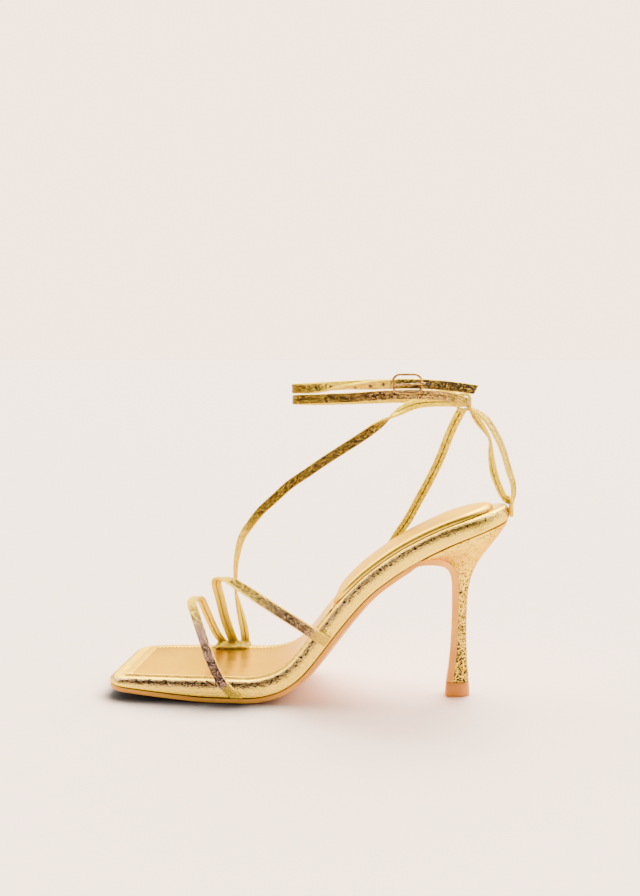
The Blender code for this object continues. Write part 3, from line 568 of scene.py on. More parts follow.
# %% Outlines and layers
def corner_inset(distance, radius):
    """Sideways inset of a rounded corner at a distance from its end."""
    left = max(radius - distance, 0.0)
    return radius - math.sqrt(max(radius * radius - left * left, 0.0))


def station_line(start, end, start_round, end_round, turns=14):
    """Sections of one piece, close together in its rounded ends."""
    bends = [inset for inset, _ in quarter(turns)]
    first = [start + start_round * bend for bend in bends]
    last = [end - end_round * bend for bend in bends[::-1]]
    count = max(round((last[0] - first[-1]) / FINE_STEP), 1)
    middle = [first[-1] + (last[0] - first[-1]) * i / count for i in range(1, count)]
    return sorted(set(first + middle + last))


def plan_outline(stations, margin, start_round, end_round, near_more=0.0):
    """Near and far edges of a piece of the sole, as pairs of plan points."""
    near = []
    far = []
    for x in stations:
        inset = corner_inset(x - stations[0], start_round)
        inset += corner_inset(stations[-1] - x, end_round)
        near.append((x, -(near_width(x) + near_more - margin - inset)))
        far.append((x, far_width(x) - margin - inset))
    return near + far[::-1]


def moved_in(ring, distance):
    """Move a closed plan outline inwards by a distance."""
    moved = []
    for i, (x, y) in enumerate(ring):
        before = ring[i - 1]
        after = ring[(i + 1) % len(ring)]
        run = Vector((after[0] - before[0], after[1] - before[1])).normalized()
        moved.append((x - run.y * distance, y + run.x * distance))
    return moved


def layered(name, outline, layers, material, **more_marks):
    """Piece of the sole made of inset outlines, marked with its rise."""
    rings = []
    marks = {"rise": [], **more_marks}
    for distance, height in layers:
        ring = distance if isinstance(distance, list) else moved_in(outline, distance)
        rings.append([on_sole(x, y, height(x)) for x, y in ring])
        marks["rise"] += [height(x) - layers[0][1](x) for x, _ in ring]
    return skin(name, rings, material, caps="strips", marks=marks)


def edge_radius(x):
    """Radius of the wrapped edge, limited where the wall is low."""
    return min(EDGE_ROUND, 0.5 * wall_height(x))


def wrap_drop(x):
    """How far down the padded edge of the wrap reaches."""
    return min(WRAP_DROP, 0.75 * wall_height(x))


# %% Wrap the platform
EDGE_TURNS = 16
BAND_ROUND_EDGE = ((1, 5, 10, 13), (0.0, 0.6, 0.6, 0.0))
BAND_ALONG = ((-190, -125, -100, -50, 10), (1.0, 1.0, 0.8, 0.9, 0.6))
stations = station_line(-FORE_REACH, REAR_REACH, TOE_CORNER, seat_round)
outline = plan_outline(stations, 0, TOE_CORNER, seat_round)
layers = [
    (LOWER_ROUND * drop, lambda x, rise=inset: LOWER_ROUND * rise)
    for inset, drop in quarter(3)]
for share in (0.33, 0.67):
    layers.append((
        0, lambda x, s=share: LOWER_ROUND + s * (wall_height(x) - wrap_drop(x) - LOWER_ROUND)))
below = len(layers)
layers += [
    (WRAP_INSET * inset, lambda x, down=drop: wall_height(x) - wrap_drop(x) * down)
    for inset, drop in quarter(EDGE_TURNS)]
# Painted reflection: a band of dark, mauve-tinted grains along the rounded top edge of the wall.
painted_band = np.interp(range(-below, EDGE_TURNS + 1), *BAND_ROUND_EDGE)
along_band = np.interp([x / MM for x, _ in outline], *BAND_ALONG)
painted_band = np.outer(painted_band, along_band).ravel()
platform = layered(
    "platform_wrap", outline, layers, wall_foil, wear=painted_band, blush=0.8 * painted_band)
settle(platform, "wrapped_foil", "midsole")

# %% Lay the sock
SOCK_MARGIN = 8.0 * MM
SOCK_THICK = 0.7 * MM
SOCK_CORNER = 3.0 * MM
SOCK_EDGE = 0.5 * MM
SOCK_NEAR_MORE = 2.4 * MM
SOCK_LEAN = 0.22
PAD_FRONT = -0.31
sock_end = along_to_x(PAD_FRONT) - GAP
sock_stations = station_line(-FORE_REACH + SOCK_MARGIN, sock_end, SOCK_CORNER, SOCK_CORNER, 6)
sock_outline = plan_outline(sock_stations, SOCK_MARGIN, SOCK_CORNER, SOCK_CORNER, SOCK_NEAR_MORE)
sock_layers = [(0, lambda x: wall_height(x) + 0.1 * GAP)]
sock_layers += [
    (SOCK_EDGE * inset,
     lambda x, down=drop: wall_height(x) + GAP + SOCK_THICK - SOCK_EDGE * down)
    for inset, drop in quarter(3)]
sock_top = sock_layers[-1][1]
near_count = len(sock_outline) // 2
for inset, rise in ((4.6, 0.0), (5.0, -0.18), (5.5, -0.05)):
    inner = moved_in(sock_outline, inset * MM)
    border = [
        (x, min(y, sock_outline[i][1] + SOCK_LEAN * inset * MM) if i < near_count else y)
        for i, (x, y) in enumerate(inner)]
    sock_layers.append((border, lambda x, r=rise: sock_top(x) + r * MM))
sock_panel = np.repeat([0.0] * 6 + [0.5, 1.0], len(sock_outline))
sock = layered("sock", sock_outline, sock_layers, sock_gloss, panel=sock_panel)
settle(sock, "satin_sock", "insole_sock")

# %% [markdown]
# ## Heel pad
#
# A few millimetres of foam lie under soft leather from the waist to the
# heel. The leather is drawn down at its border, so the pad rises in a round
# shoulder and stays a little full in the middle.

# %% Pad the heel
PAD_MARGIN = 4.0 * MM
PAD_THICK = 3.0 * MM
PAD_CORNER = 9.0 * MM
PAD_BACK = 0.70
PAD_SHOULDER = [
    # inset and rise, as shares of PAD_THICK
    (0.00, 0.02), (0.00, 0.24), (0.05, 0.42), (0.16, 0.60), (0.34, 0.76),
    (0.62, 0.89), (1.00, 0.97), (1.50, 1.00),
]
pad_round = seat_round - PAD_MARGIN
pad_stations = station_line(
    along_to_x(PAD_FRONT) + GAP, along_to_x(PAD_BACK), PAD_CORNER, pad_round)
pad_outline = plan_outline(pad_stations, PAD_MARGIN, PAD_CORNER, pad_round)
pad_layers = [
    (inset * PAD_THICK, lambda x, r=rise: wall_height(x) + 0.2 * GAP + r * (PAD_THICK + GAP))
    for inset, rise in PAD_SHOULDER
]
pad = layered("heel_cushion", pad_outline, pad_layers, pad_foil)
settle(pad, "padded_foil", "heel_pad")

# %% [markdown]
# ## Heel and top piece
#
# The heel is a stack of sections with a flat front, the breast, and a round
# back. Each row of the table is one section. It leans, because its front and
# back points stand at different heights, and the last one follows the sole.

# %% Sizes and sections of the heel
BREAST_REACH = 26.0 * MM
SEAT_WIDTH = 50.0 * MM
TIP_HEIGHT = 7.5 * MM
TIP_LENGTH = 13.6 * MM
TIP_WIDTH = 13.0 * MM
TIP_FLARE = 0.92
SECTION_SIDES = 72
SECTION_WIDEST = 0.42
FRONT_POWER = 5.0
BACK_POWER = 2.3

HEEL_SECTIONS = [
    # front, front_rise, back, back_rise, width
    (-0.158, 0.08, 0.228, 0.08, 0.225),
    (-0.127, 0.133, 0.211, 0.13, 0.208),
    (-0.081, 0.255, 0.185, 0.25, 0.19),
    (-0.058, 0.388, 0.174, 0.38, 0.19),
    (-0.05, 0.51, 0.181, 0.5, 0.205),
    (-0.054, 0.617, 0.21, 0.605, 0.245),
    (-0.075, 0.68, 0.275, 0.68, 0.32),
    (-0.135, 0.725, 0.385, 0.75, 0.43),
    (-0.245, 0.761, 0.56, 0.82, 0.59),
    (-0.44, 0.783, 0.73, 0.88, 0.76),
    (-0.7, 0.783, 0.88, 0.935, 0.9),
    (-1, 0.757, 0.985, 0.985, 0.96),
]
HEEL_SIZES = (BREAST_REACH, SEAT_RISE, REAR_REACH, SEAT_RISE, SEAT_WIDTH)
heel_rows = [[share * size for share, size in zip(row, HEEL_SIZES)] for row in HEEL_SECTIONS]
heel_rows[0][1] = heel_rows[0][3] = TIP_HEIGHT + GAP


def d_section(low, high, width):
    """Ring with a flat front and a round back, between two points."""
    ring = []
    for i in range(SECTION_SIDES):
        angle = 2 * math.pi * (i + 0.5) / SECTION_SIDES
        c = math.cos(angle)
        s = math.sin(angle)
        power = 2 / (FRONT_POWER if c > 0 else BACK_POWER)
        reach = abs(c) ** power
        depth = -SECTION_WIDEST if c > 0 else 1 - SECTION_WIDEST
        point = low.lerp(high, SECTION_WIDEST + depth * reach)
        side = math.copysign(abs(s) ** power, s)
        ring.append(Vector((point.x, side * width / 2, point.z)))
    return ring


def soft_rows(rows, count):
    """Smooth rows of numbers, evenly spread between the first and the last."""
    middle = [Vector((0.5 * (r[0] + r[2]), 0.5 * (r[1] + r[3]))) for r in rows]
    keys = [0.0]
    for one, other in zip(middle, middle[1:]):
        keys.append(keys[-1] + (other - one).length)
    curves = [blurred(keys, [row[k] for row in rows]) for k in range(len(rows[0]))]
    return [[curve(keys[-1] * i / count) for curve in curves] for i in range(count + 1)]


def seat_level(x):
    """Height of the heel's top face, a clearance below the platform."""
    _, normal = sole_frame(x)
    return underside(x) - GAP / normal.z


# %% Shape the heel
HEEL_RINGS = 110
HEEL_LOW_DARKENING = ((8, 38, 60, 80), (0.70, 0.58, 0.45, 0.15))
smooth_heel = soft_rows(heel_rows, HEEL_RINGS)
heel_rings = []
for front_x, front_z, back_x, back_z, width in smooth_heel:
    ring = d_section(Vector((front_x, 0, front_z)), Vector((back_x, 0, back_z)), width)
    for point in ring:
        point.z = min(point.z, seat_level(point.x))
    heel_rings.append(ring)
for point in heel_rings[-1]:
    point.z = seat_level(point.x)
rises = [max(seat_level(p.x) - p.z, 0.0) for ring in heel_rings for p in ring]
# The heel's grains are darker toward the bottom.
darkened_low = [np.interp(p.z / MM, *HEEL_LOW_DARKENING) for ring in heel_rings for p in ring]
heel = skin(
    "heel_wrap", heel_rings, heel_foil, caps="strips",
    marks={"rise": rises, "wear": darkened_low}, angle=50)
settle(heel, "wrapped_foil", "heel")

# %% Fit the top piece
tip_rings = []
for height, inset in ((0.0, 0.35), (0.12, 0.1), (0.35, 0.0), (7.2, 0.0), (7.4, 0.1), (7.5, 0.3)):
    height = height * MM
    share = 1 - (1 - TIP_FLARE) * height / TIP_HEIGHT
    reach = TIP_LENGTH / 2 * share - inset * MM
    tip_rings.append(d_section(
        Vector((-reach, 0, height)), Vector((reach, 0, height)),
        TIP_WIDTH * share - 2 * inset * MM))
tip = skin("heel_tip", tip_rings, tip_rubber, caps="strips", angle=30)
settle(tip, "tan_sole", "top_piece")

# %% [markdown]
# ## Outsole
#
# The tan sole follows the underside, thickens to a soft crown under the
# waist and turns down the heel's breast in a thin flap. Its section is swept
# along that line.


# %% Sweep the outsole
OUTSOLE_BEVEL = 0.6 * MM
CLING_LIMIT = 1.6 * MM
FLAP_BLEND = 1 / 3
FLAP_ROWS = 60


def sole_section(place, normal, near, far, thick, crown, cling=0.0):
    """Section of the outsole: flat on top, rounded edges, crowned below."""
    def at(y, drop):
        return place + Vector((0, y, 0)) - normal * drop

    bevel = OUTSOLE_BEVEL
    ring = []
    for i in range(17):
        bend = SECTION_WIDEST * cling * (1 - (1 - abs(i / 8 - 1) ** FRONT_POWER) ** 0.2)
        ring.append(at(-near + (near + far) * i / 16, -min(bend, CLING_LIMIT)))
    edge = [(bevel * inset, thick - bevel * drop) for inset, drop in quarter(4)[1:4]]
    ring += [at(far - inset, drop) for inset, drop in edge]
    for i in range(21):
        share = math.cos(math.pi * i / 20)
        side = far - bevel if share > 0 else near - bevel
        ring.append(at(side * share, thick + crown * (1 - share * share)))
    return ring + [at(inset - near, drop) for inset, drop in edge[::-1]]


sole_rows = []
sole_end = -BREAST_REACH - FLAP_LEAD
for x in station_line(-FORE_REACH + OUTSOLE_INSET, sole_end, TOE_CORNER, 0):
    point, normal = sole_frame(x)
    inset = corner_inset(x + FORE_REACH - OUTSOLE_INSET, TOE_CORNER) + OUTSOLE_INSET
    sole_rows.append((
        point - normal * GAP, normal, near_width(x) - inset, far_width(x) - inset,
        OUTSOLE_THICK, crown_height(x)))
last_place, last_normal, last_near, last_far, last_thick, last_crown = sole_rows[-1]
breast = [[row[0], row[1], row[2] - row[0], row[1], row[4] / 2] for row in heel_rows][-2::-1]
lead = last_place + last_normal * GAP
breast.insert(0, [lead.x, lead.z, 0.0, lead.z, 0.5 * (last_near + last_far)])
flap = soft_rows(breast, FLAP_ROWS)[1:]
for i, (x, z, deep, _, half) in enumerate(flap):
    before = flap[i - 1] if i else breast[0]
    after = flap[min(i + 1, len(flap) - 1)]
    run = Vector((after[0] - before[0], 0, after[1] - before[1])).normalized()
    normal = Vector((-run.z, 0, run.x))
    fade = min((i + 1) / len(flap) / FLAP_BLEND, 1)
    sole_rows.append((
        Vector((x, 0, z)) - normal * (GAP * (1 - fade)), normal, half, half,
        last_thick + (FLAP_THICK - last_thick) * fade, last_crown * (1 - fade), deep))
outsole = skin("tan_outsole", [sole_section(*row) for row in sole_rows], tan_leather, angle=30)
settle(outsole, "tan_sole", "outsole")

# %% [markdown]
# ## Straps
#
# A strap is a ribbon that turns as it runs. Each row of a table gives a place
# and the direction of the outer face, as a turn and, where it changes, a
# roll. A spline fills in a ring every millimetre, so that bends and the long
# twists in the ankle strap stay round.

# %% Sizes of the straps
INSTEP_WIDTH = 5.9 * MM
STRAP_THICK = 1.7 * MM
STRAP_STEP = 1.1 * MM
TAB_WIDTH = 20.0 * MM
TAB_THICK = 2.3 * MM
TAB_CLEAR = 1.2 * MM
STRAP_EDGE = 0.55 * MM
STRAP_DOME = 0.12 * MM
FOLD_GROOVE = 0.28 * MM
LAP_END = 1.0 * MM
LAP_GAP = 0.40 * MM
TAB_REACH = 0.6
TOE_ARCH = 37.0 * MM
INSTEP_ARCH = 43.0 * MM
ANKLE_LENGTH = 100.0 * MM
ANKLE_WIDTH = 46.0 * MM
ANKLE_HEIGHT = 163.0 * MM
LOOP_WIDTH = 7.0 * MM
LOOP_WALL = 1.8 * MM
LOOP_CLEAR = 0.5 * MM
LOOP_ROUND = 0.75
LOOP_LEAD = 1.0 * MM
LOOP_JOIN = 0.25 * MM
WAIST_FOOT = (-1.2 * MM, 0.6 * MM)
HEEL_FOOT_SIDE = 1.6 * MM
HEEL_FOOT_DROP = 0.72
TAIL_SLANT = -0.35
HEEL_LAP_SIDE = 4.0 * MM
LOOP_PLACE = (0.020, 0.0, 0.982)
TOE_LAP = (-0.618, -0.660)
INSTEP_LAP = (-0.357, -0.361)
WAIST_LAP = (-0.177, -0.168)
TAB_PLACE = -0.701
TOE_FAR_END = -0.733
INSTEP_FAR_END = -0.700
ANKLE_FAR_END = -0.666

TOE_STRAP = [
    # across, lean, up, facing
    (0.026, 0.033, 0.33, 12),
    (0.115, 0.06, 0.677, 28),
    (0.221, 0.079, 0.881, 50),
    (0.34, 0.091, 0.99, 75),
    (0.458, 0.083, 1.01, 98),
    (0.576, 0.07, 0.951, 118),
    (0.742, 0.055, 0.665, 142),
    (0.88, 0.028, 0.27, 162),
]
INSTEP_STRAP = [
    # across, lean, up, facing
    (0.003, 0.045, 0.13, 8),
    (0.031, 0.088, 0.27, 18),
    (0.112, 0.138, 0.48, 36),
    (0.236, 0.164, 0.66, 58),
    (0.33, 0.168, 0.745, 76),
    (0.43, 0.169, 0.795, 96),
    (0.545, 0.158, 0.77, 118),
    (0.701, 0.112, 0.57, 142),
    (0.812, 0.075, 0.357, 158),
    (0.905, 0.036, 0.14, 168),
]
CLIMB = [
    # fore, side, up, turn, roll
    (-1.263, 2.12, 0.12, 68, 4),
    (-1.28, 2.03, 0.183, 38, 8),
    (-1.3, 1.783, 0.271, -12, 12),
    (-1.296, 1.609, 0.335, -30, 14),
    (-1.281, 1.391, 0.406, -42, 15),
    (-1.236, 1.065, 0.494, -60, 15),
    (-1.172, 0.783, 0.55, -70, 12),
    (-1.103, 0.522, 0.601, -78, 10),
    (-1.028, 0.261, 0.643, -82, 8),
    (-0.924, -0.087, 0.701, -84, 6),
    (-0.818, -0.37, 0.747, -86, 4),
    (-0.716, -0.565, 0.791, -88, 2),
    (-0.617, -0.696, 0.831, -90, 0),
    (-0.52, -0.783, 0.87, -90, -6),
    (-0.426, -0.826, 0.911, -90, -45),
    (-0.356, -0.835, 0.94, -90, -100),
    (-0.293, -0.817, 0.963, -92, -145),
    (-0.231, -0.761, 0.979, -95, -170),
    (-0.148, -0.609, 0.985, -102, -180),
    (-0.06, -0.37, 0.984, -132, -180),
]
LOWER_TURN = [
    # fore, side, up, turn
    (-0.025, 0.43, 0.981, -215),
    (-0.13, 0.79, 0.985, -250),
    (-0.33, 1, 0.988, -265),
    (-0.58, 0.98, 0.983, -280),
    (-0.78, 0.68, 0.981, -310),
    (-0.895, 0.06, 0.986, -355),
    (-0.87, -0.435, 0.99, -400),
    (-0.78, -0.783, 0.994, -425),
    (-0.682, -0.913, 0.997, -440),
    (-0.575, -0.97, 1, -446),
    (-0.418, -0.991, 1.007, -450),
    (-0.26, -0.92, 1.011, -460),
    (-0.122, -0.71, 1.007, -480),
    (-0.04, -0.47, 0.998, -505),
]
UPPER_TURN = [
    # fore, side, up, turn, roll
    (-0.02, 0.5, 0.995, -575, -180),
    (-0.124, 0.93, 1.034, -610, -180),
    (-0.33, 1.15, 1.04, -625, -180),
    (-0.58, 1.13, 1.034, -640, -180),
    (-0.79, 0.8, 1.028, -670, -180),
    (-0.898, 0.06, 1.025, -715, -180),
    (-0.872, -0.478, 1.026, -760, -180),
    (-0.778, -0.87, 1.028, -788, -166),
    (-0.707, -0.978, 1.03, -800, -132),
    (-0.626, -1.043, 1.034, -806, -90),
    (-0.547, -1.061, 1.036, -810, -58),
    (-0.469, -1.065, 1.04, -810, -30),
    (-0.4, -1.068, 1.043, -810, -8),
    (-0.345, -1.07, 1.044, -810, 0),
    (-0.275, -1.07, 1.045, -810, 0),
    (-0.19, -1.07, 1.044, -810, 0),
    (-0.13, -1.075, 1.042, -810, 0),
    (-0.055, -1.09, 1.038, -810, 0),
    (0.08, -1.1, 1.027, -810, 0),
]
BUCKLE_STRAP = [
    # fore, side, up, turn
    (-0.195, -0.945, 1.043, -90),
    (-0.1, -0.9, 1.04, -98),
    (-0.03, -0.72, 1.036, -120),
    (0.015, -0.43, 1.032, -150),
    (0.028, -0.15, 1.028, -172),
]
WAIST_STRAP = [
    # fore, side, up, turn
    (-0.275, 1.18, 0.574, 90),
    (-0.223, 1.11, 0.636, 92),
    (-0.174, 1.01, 0.693, 92),
    (-0.126, 0.86, 0.754, 92),
    (-0.091, 0.7, 0.807, 92),
    (-0.06, 0.48, 0.86, 92),
    (-0.027, 0.24, 0.91, 92),
]
NEAR_HEEL_STRAP = [
    # fore, side, up, turn
    (0.287, -0.3, 0.67, -158),
    (0.285, -0.34, 0.715, -155),
    (0.258, -0.35, 0.769, -150),
    (0.236, -0.31, 0.815, -148),
    (0.201, -0.26, 0.867, -146),
    (0.137, -0.19, 0.93, -148),
]
FAR_HEEL_STRAP = [
    # fore, side, up, turn
    (0.25, 0.26, 0.66, 155),
    (0.213, 0.3, 0.703, 142),
    (0.187, 0.31, 0.75, 138),
    (0.173, 0.3, 0.803, 155),
    (0.166, 0.26, 0.851, 178),
    (0.143, 0.22, 0.881, 162),
    (0.1, 0.15, 0.918, 142),
]


# %% Splines and facings
def spline_points(rows, spacing):
    """Points on a smooth curve through rows of numbers, the first 3 a place."""
    chords = [0.0]
    for one, other in zip(rows, rows[1:]):
        chords.append(chords[-1] + max((Vector(other[:3]) - Vector(one[:3])).length, 1e-6))

    def slope(i, column):
        low = max(i - 1, 0)
        high = min(i + 1, len(rows) - 1)
        return (rows[high][column] - rows[low][column]) / (chords[high] - chords[low])

    points = []
    for i in range(len(rows) - 1):
        span = chords[i + 1] - chords[i]
        count = max(round(span / spacing), 1)
        for step in range(count):
            points.append([
                hermite(step / count, span, rows[i][column], rows[i + 1][column],
                        slope(i, column), slope(i + 1, column))
                for column in range(len(rows[0]))])
    points.append(list(rows[-1]))
    return points


def facing(turn, roll):
    """Direction of a strap's outer face, from two angles in degrees."""
    turn = math.radians(turn)
    roll = math.radians(roll)
    return Vector((
        -math.cos(turn) * math.cos(roll), math.sin(turn) * math.cos(roll), math.sin(roll)))


def turned_spine(rows):
    """Places and facings of a strap from rows of place, turn and roll."""
    return [(Vector(row[:3]), facing(row[3], row[4])) for row in spline_points(rows, STRAP_STEP)]


def strap_section(width, thick):
    """Folded strap in section: across, out of the face, and inside or not."""
    half = width / 2
    deep = thick / 2
    side = half - STRAP_EDGE
    top = deep - STRAP_DOME - STRAP_EDGE
    low = STRAP_EDGE - deep

    def corner(across, up, start, inside, more):
        """The rounded edge: a quarter turn, clockwise from an angle."""
        angles = [start - math.pi / 6 * i for i in range(4)]
        return [
            (across + STRAP_EDGE * math.cos(angle), up + STRAP_EDGE * math.sin(angle),
             inside + more * i) for i, angle in enumerate(angles)]

    outer = [(s * half, deep - STRAP_DOME * s * s, 0.0) for s in (-0.72, -0.36, 0.0, 0.36, 0.72)]
    inner = [(0.6 * half, 0.0), (2 * FOLD_GROOVE, 0.0), (FOLD_GROOVE, 0.25), (0.0, 1.0)]
    inner += [(-across, depth) for across, depth in inner[2::-1]]
    inner = [(across, depth * FOLD_GROOVE - deep, 1.0) for across, depth in inner]
    quarter_turn = math.pi / 2
    return (
        outer + corner(side, top, quarter_turn, 0.0, 0.12) + corner(side, low, 0.0, 0.64, 0.12)
        + inner + corner(-side, low, -quarter_turn, 1.0, -0.12)
        + corner(-side, top, math.pi, 0.36, -0.12))


def sweep_strap(
        name, spine, *nodes, width=STRAP_WIDTH, thick=STRAP_THICK, wrapped=False, slant=0.0,
        lapped=False, turned=(1, 1), wear=((0, 0.3),), blush=((0, 0.0),)):
    """Sweep the section along a spine, mark every point, and settle it.

    `nodes` are what it stands for. `wear` and `blush` are
    pairs of a share of the length and a value; the first paints dark grains,
    partly wear and partly a painted dark reflection. Between the two shares in
    `turned` the inner face is the one that looks out.
    """
    section = strap_section(width, thick)
    rings = []
    marks = {"across": [], "inside": []}
    count = len(spine)
    for mark, line in (("wear", wear), ("blush", blush)):
        marks[mark] = np.repeat(
            np.interp(np.linspace(0, 1, count), *zip(*line)), len(section))
    for i, (point, face) in enumerate(spine):
        before = spine[i - 1][0] if wrapped or i else point
        after = spine[(i + 1) % count][0] if wrapped or i < count - 1 else point
        run = (after - before).normalized()
        out = (face - run * face.dot(run)).normalized()
        side = run.cross(out)
        lead = slant if i == count - 1 else 0.0
        if lapped and i == 0:
            upright = sole_frame(point.x)[1]
            cut = -side.dot(upright) / run.dot(upright)
        ring = []
        for across, depth, _ in section:
            ahead = lead * across
            if lapped and (i == 0 or cut * across > i * STRAP_STEP):
                ahead = cut * across - i * STRAP_STEP
            ring.append(point + side * across + out * depth + run * ahead)
        rings.append(ring)
        marks["across"] += [across for across, _, _ in section]
        swapped = turned[0] < i / (count - 1) < turned[1]
        marks["inside"] += [abs(swapped - inside) for _, _, inside in section]
    strap = skin(name, rings, strap_foil, wrapped=wrapped, marks=marks, angle=50)
    return settle(strap, "strap_foil", *nodes)


def round_corners(half_x, half_z, radius):
    """Offsets and outward directions round an upright rounded rectangle."""
    path = []
    for corner_x, corner_z, start in ((1, 1, 0), (-1, 1, 90), (-1, -1, 180), (1, -1, 270)):
        centre = Vector((corner_x * (half_x - radius), 0, corner_z * (half_z - radius)))
        for i in range(9):
            angle = math.radians(start + 90 * i / 8)
            out = Vector((math.cos(angle), 0, math.sin(angle)))
            path.append((centre + out * radius, out))
    return path


# %% Places that the straps share
def ankle_place(fore, side, up):
    """Place of a point given in shares of the ankle's sizes."""
    return Vector((fore * ANKLE_LENGTH, side * ANKLE_WIDTH / 2, up * ANKLE_HEIGHT))


def ankle_rows(table, roll=0.0):
    """Rows of place, turn and roll. The table may leave out one same roll."""
    return [[*ankle_place(*row[:3]), *(*row[3:], roll)[:2]] for row in table]


def lap_ends(lap, side):
    """Foot and top of a lap on the platform's wall, side -1 near and 1 far."""
    ends = []
    for x in map(along_to_x, lap):
        half = near_width(x) if side < 0 else far_width(x)
        height = wall_height(x) if ends else LAP_END
        ends.append(on_sole(x, side * (half + (LAP_GAP + STRAP_THICK / 2)), height))
    return ends


def edge_path(x, depth):
    """Path over the far edge at one station: footbed, rounded edge, wall."""
    half = far_width(x)
    wall = wall_height(x)
    radius = edge_radius(x)
    path = [on_sole(x, half - SOCK_MARGIN + TAB_CLEAR, wall + depth)]
    for degrees in (90, 67, 45, 22, 0):
        angle = math.radians(degrees)
        y = half - EDGE_ROUND + (EDGE_ROUND + depth) * math.cos(angle)
        path.append(on_sole(x, y, wall - radius + (radius + depth) * math.sin(angle)))
    path.append(on_sole(x, half + depth, LAP_END))
    return path


def far_ends(share):
    """Places where a front strap ends in the tab: footbed, edge and wall."""
    path = edge_path(along_to_x(share), LAP_GAP + TAB_THICK / 2)
    return path[4], path[5], path[5].lerp(path[6], TAB_REACH)


# %% Toe and instep straps
def vamp_spine(lap, table, arch, far_end):
    """Spine of a vamp strap: near lap, arch, far end inside the tab."""
    low, high = lap_ends(lap, -1)
    last, edge, wall = far_ends(far_end)
    rows = [[*low, 0.0], [*low.lerp(high, 0.5), 0.0], [*high, 2.0]]
    for across, lean, up, angle in table:
        place = high.lerp(last, across)
        rows.append([place.x - lean * FORE_REACH, place.y, place.z + up * arch, angle])
    rows += [[*last, 172.0], [*edge, 180.0], [*wall, 180.0]]
    spine = []
    for x, y, z, angle in spline_points(rows, STRAP_STEP):
        angle = math.radians(angle)
        spine.append((Vector((x, y, z)), Vector((0, -math.cos(angle), math.sin(angle)))))
    return spine


toe_spine = vamp_spine(TOE_LAP, TOE_STRAP, TOE_ARCH, TOE_FAR_END)
instep_spine = vamp_spine(INSTEP_LAP, INSTEP_STRAP, INSTEP_ARCH, INSTEP_FAR_END)
# Painted reflection: each table paints dark grains in zones along the strap, partly wear and
# partly a dark reflection.
sweep_strap(
    "strap_toe", toe_spine, "front_straps", lapped=True,
    wear=((0, 0), (0.05, 0.2), (0.08, 0.95), (0.35, 0.95), (0.41, 0.7), (0.47, 0.1)),
    blush=((0, 0.3), (0.08, 1), (0.28, 0.9), (0.38, 0.1)))
sweep_strap(
    "strap_instep", instep_spine, width=INSTEP_WIDTH, lapped=True,
    wear=((0, 0), (0.05, 0.2), (0.08, 0.8), (0.14, 1.02), (0.36, 1.0), (0.42, 0.8), (0.47, 0.1)),
    blush=((0, 0), (0.08, 0.6), (0.18, 0.5), (0.28, 0.1)))


# %% Ankle strap, from the tab to its punched tail
def tunnel_rows(layer, turn):
    """Rows of the ankle strap inside the loop, at one of its two layers."""
    centre = ankle_place(*LOOP_PLACE)
    shift = (layer - 0.5) * (STRAP_THICK + LOOP_CLEAR)
    reach = LOOP_WIDTH / 2 + LOOP_LEAD
    return [
        [*(centre + Vector((shift, side * reach, 0))), turn, -180.0] for side in (-1, 0, 1)]


last, edge, wall = far_ends(ANKLE_FAR_END)
ankle_path = [[*wall, 90.0, 0.0], [*edge, 90.0, 0.0], [*last, 90.0, 4.0]]
ankle_path += ankle_rows(CLIMB) + tunnel_rows(0, -180.0)
ankle_path += ankle_rows(LOWER_TURN, -180.0) + tunnel_rows(1, -540.0)
ankle_path += ankle_rows(UPPER_TURN)
ankle_spine = turned_spine(ankle_path)
# Painted reflection: the table paints dark grains in zones along the strap, partly wear and
# partly a dark reflection.
sweep_strap(
    "strap_ankle", ankle_spine, slant=TAIL_SLANT, turned=(0.36, 0.905),
    wear=(
        (0, 0.2), (0.06, 0.2), (0.11, 0.3), (0.15, 1.05), (0.26, 1.05), (0.28, 0.9),
        (0.31, 0.5), (0.38, 0.3), (0.50, 0.3), (0.515, 1.05), (0.58, 1.05), (0.62, 0.85),
        (0.655, 0.75), (0.67, 0.5), (0.70, 0.4), (0.83, 0.4), (0.845, 1.05), (0.895, 0.95),
        (0.91, 0.1), (0.935, 0.1), (0.945, 1.0), (0.965, 1.08), (1, 1.08)),
    blush=((0.57, 0), (0.60, 0.3), (0.65, 0.35), (0.67, 0)))

# %% [markdown]
# ## Tab, loop and back straps
#
# On the far side the three front straps run under one tab that is folded
# over the platform's edge. At the back of the ankle a short loop holds both
# turns of the ankle strap, and the waist strap and two heel straps carry it.


# %% Fold the tab over the edge
TAB_LEAD = (17.0, 13.0, 9.5)
TAB_LEAD_THICK = 1.2 * MM
TAB_THINNING = 0.8 * MM
TAB_ROWS = 15
TAB_WEAR = 0.45


def tab_lead(x, depth):
    """First part of the tab's path, thinner and on top of the sock."""
    height = wall_height(x) + SOCK_THICK + GAP + min(depth, TAB_LEAD_THICK)
    return [on_sole(x, far_width(x) - reach * MM, height) for reach in TAB_LEAD]


tab_middle = along_to_x(TAB_PLACE)
tab_rings = []
for i in range(TAB_ROWS):
    share = i / (TAB_ROWS - 1) - 0.5
    x = tab_middle + share * TAB_WIDTH
    swell = TAB_THICK - TAB_THINNING * (2 * abs(share)) ** 6
    inner = tab_lead(x, LAP_GAP) + edge_path(x, LAP_GAP)
    outer = tab_lead(x, LAP_GAP + swell) + edge_path(x, LAP_GAP + swell)
    tab_rings.append(inner + outer[::-1])
tab_marks = {"wear": [TAB_WEAR] * (TAB_ROWS * len(tab_rings[0]))}
tab = skin("strap_tab", tab_rings, strap_foil, caps="strips", marks=tab_marks, angle=50)
settle(tab, "strap_foil")

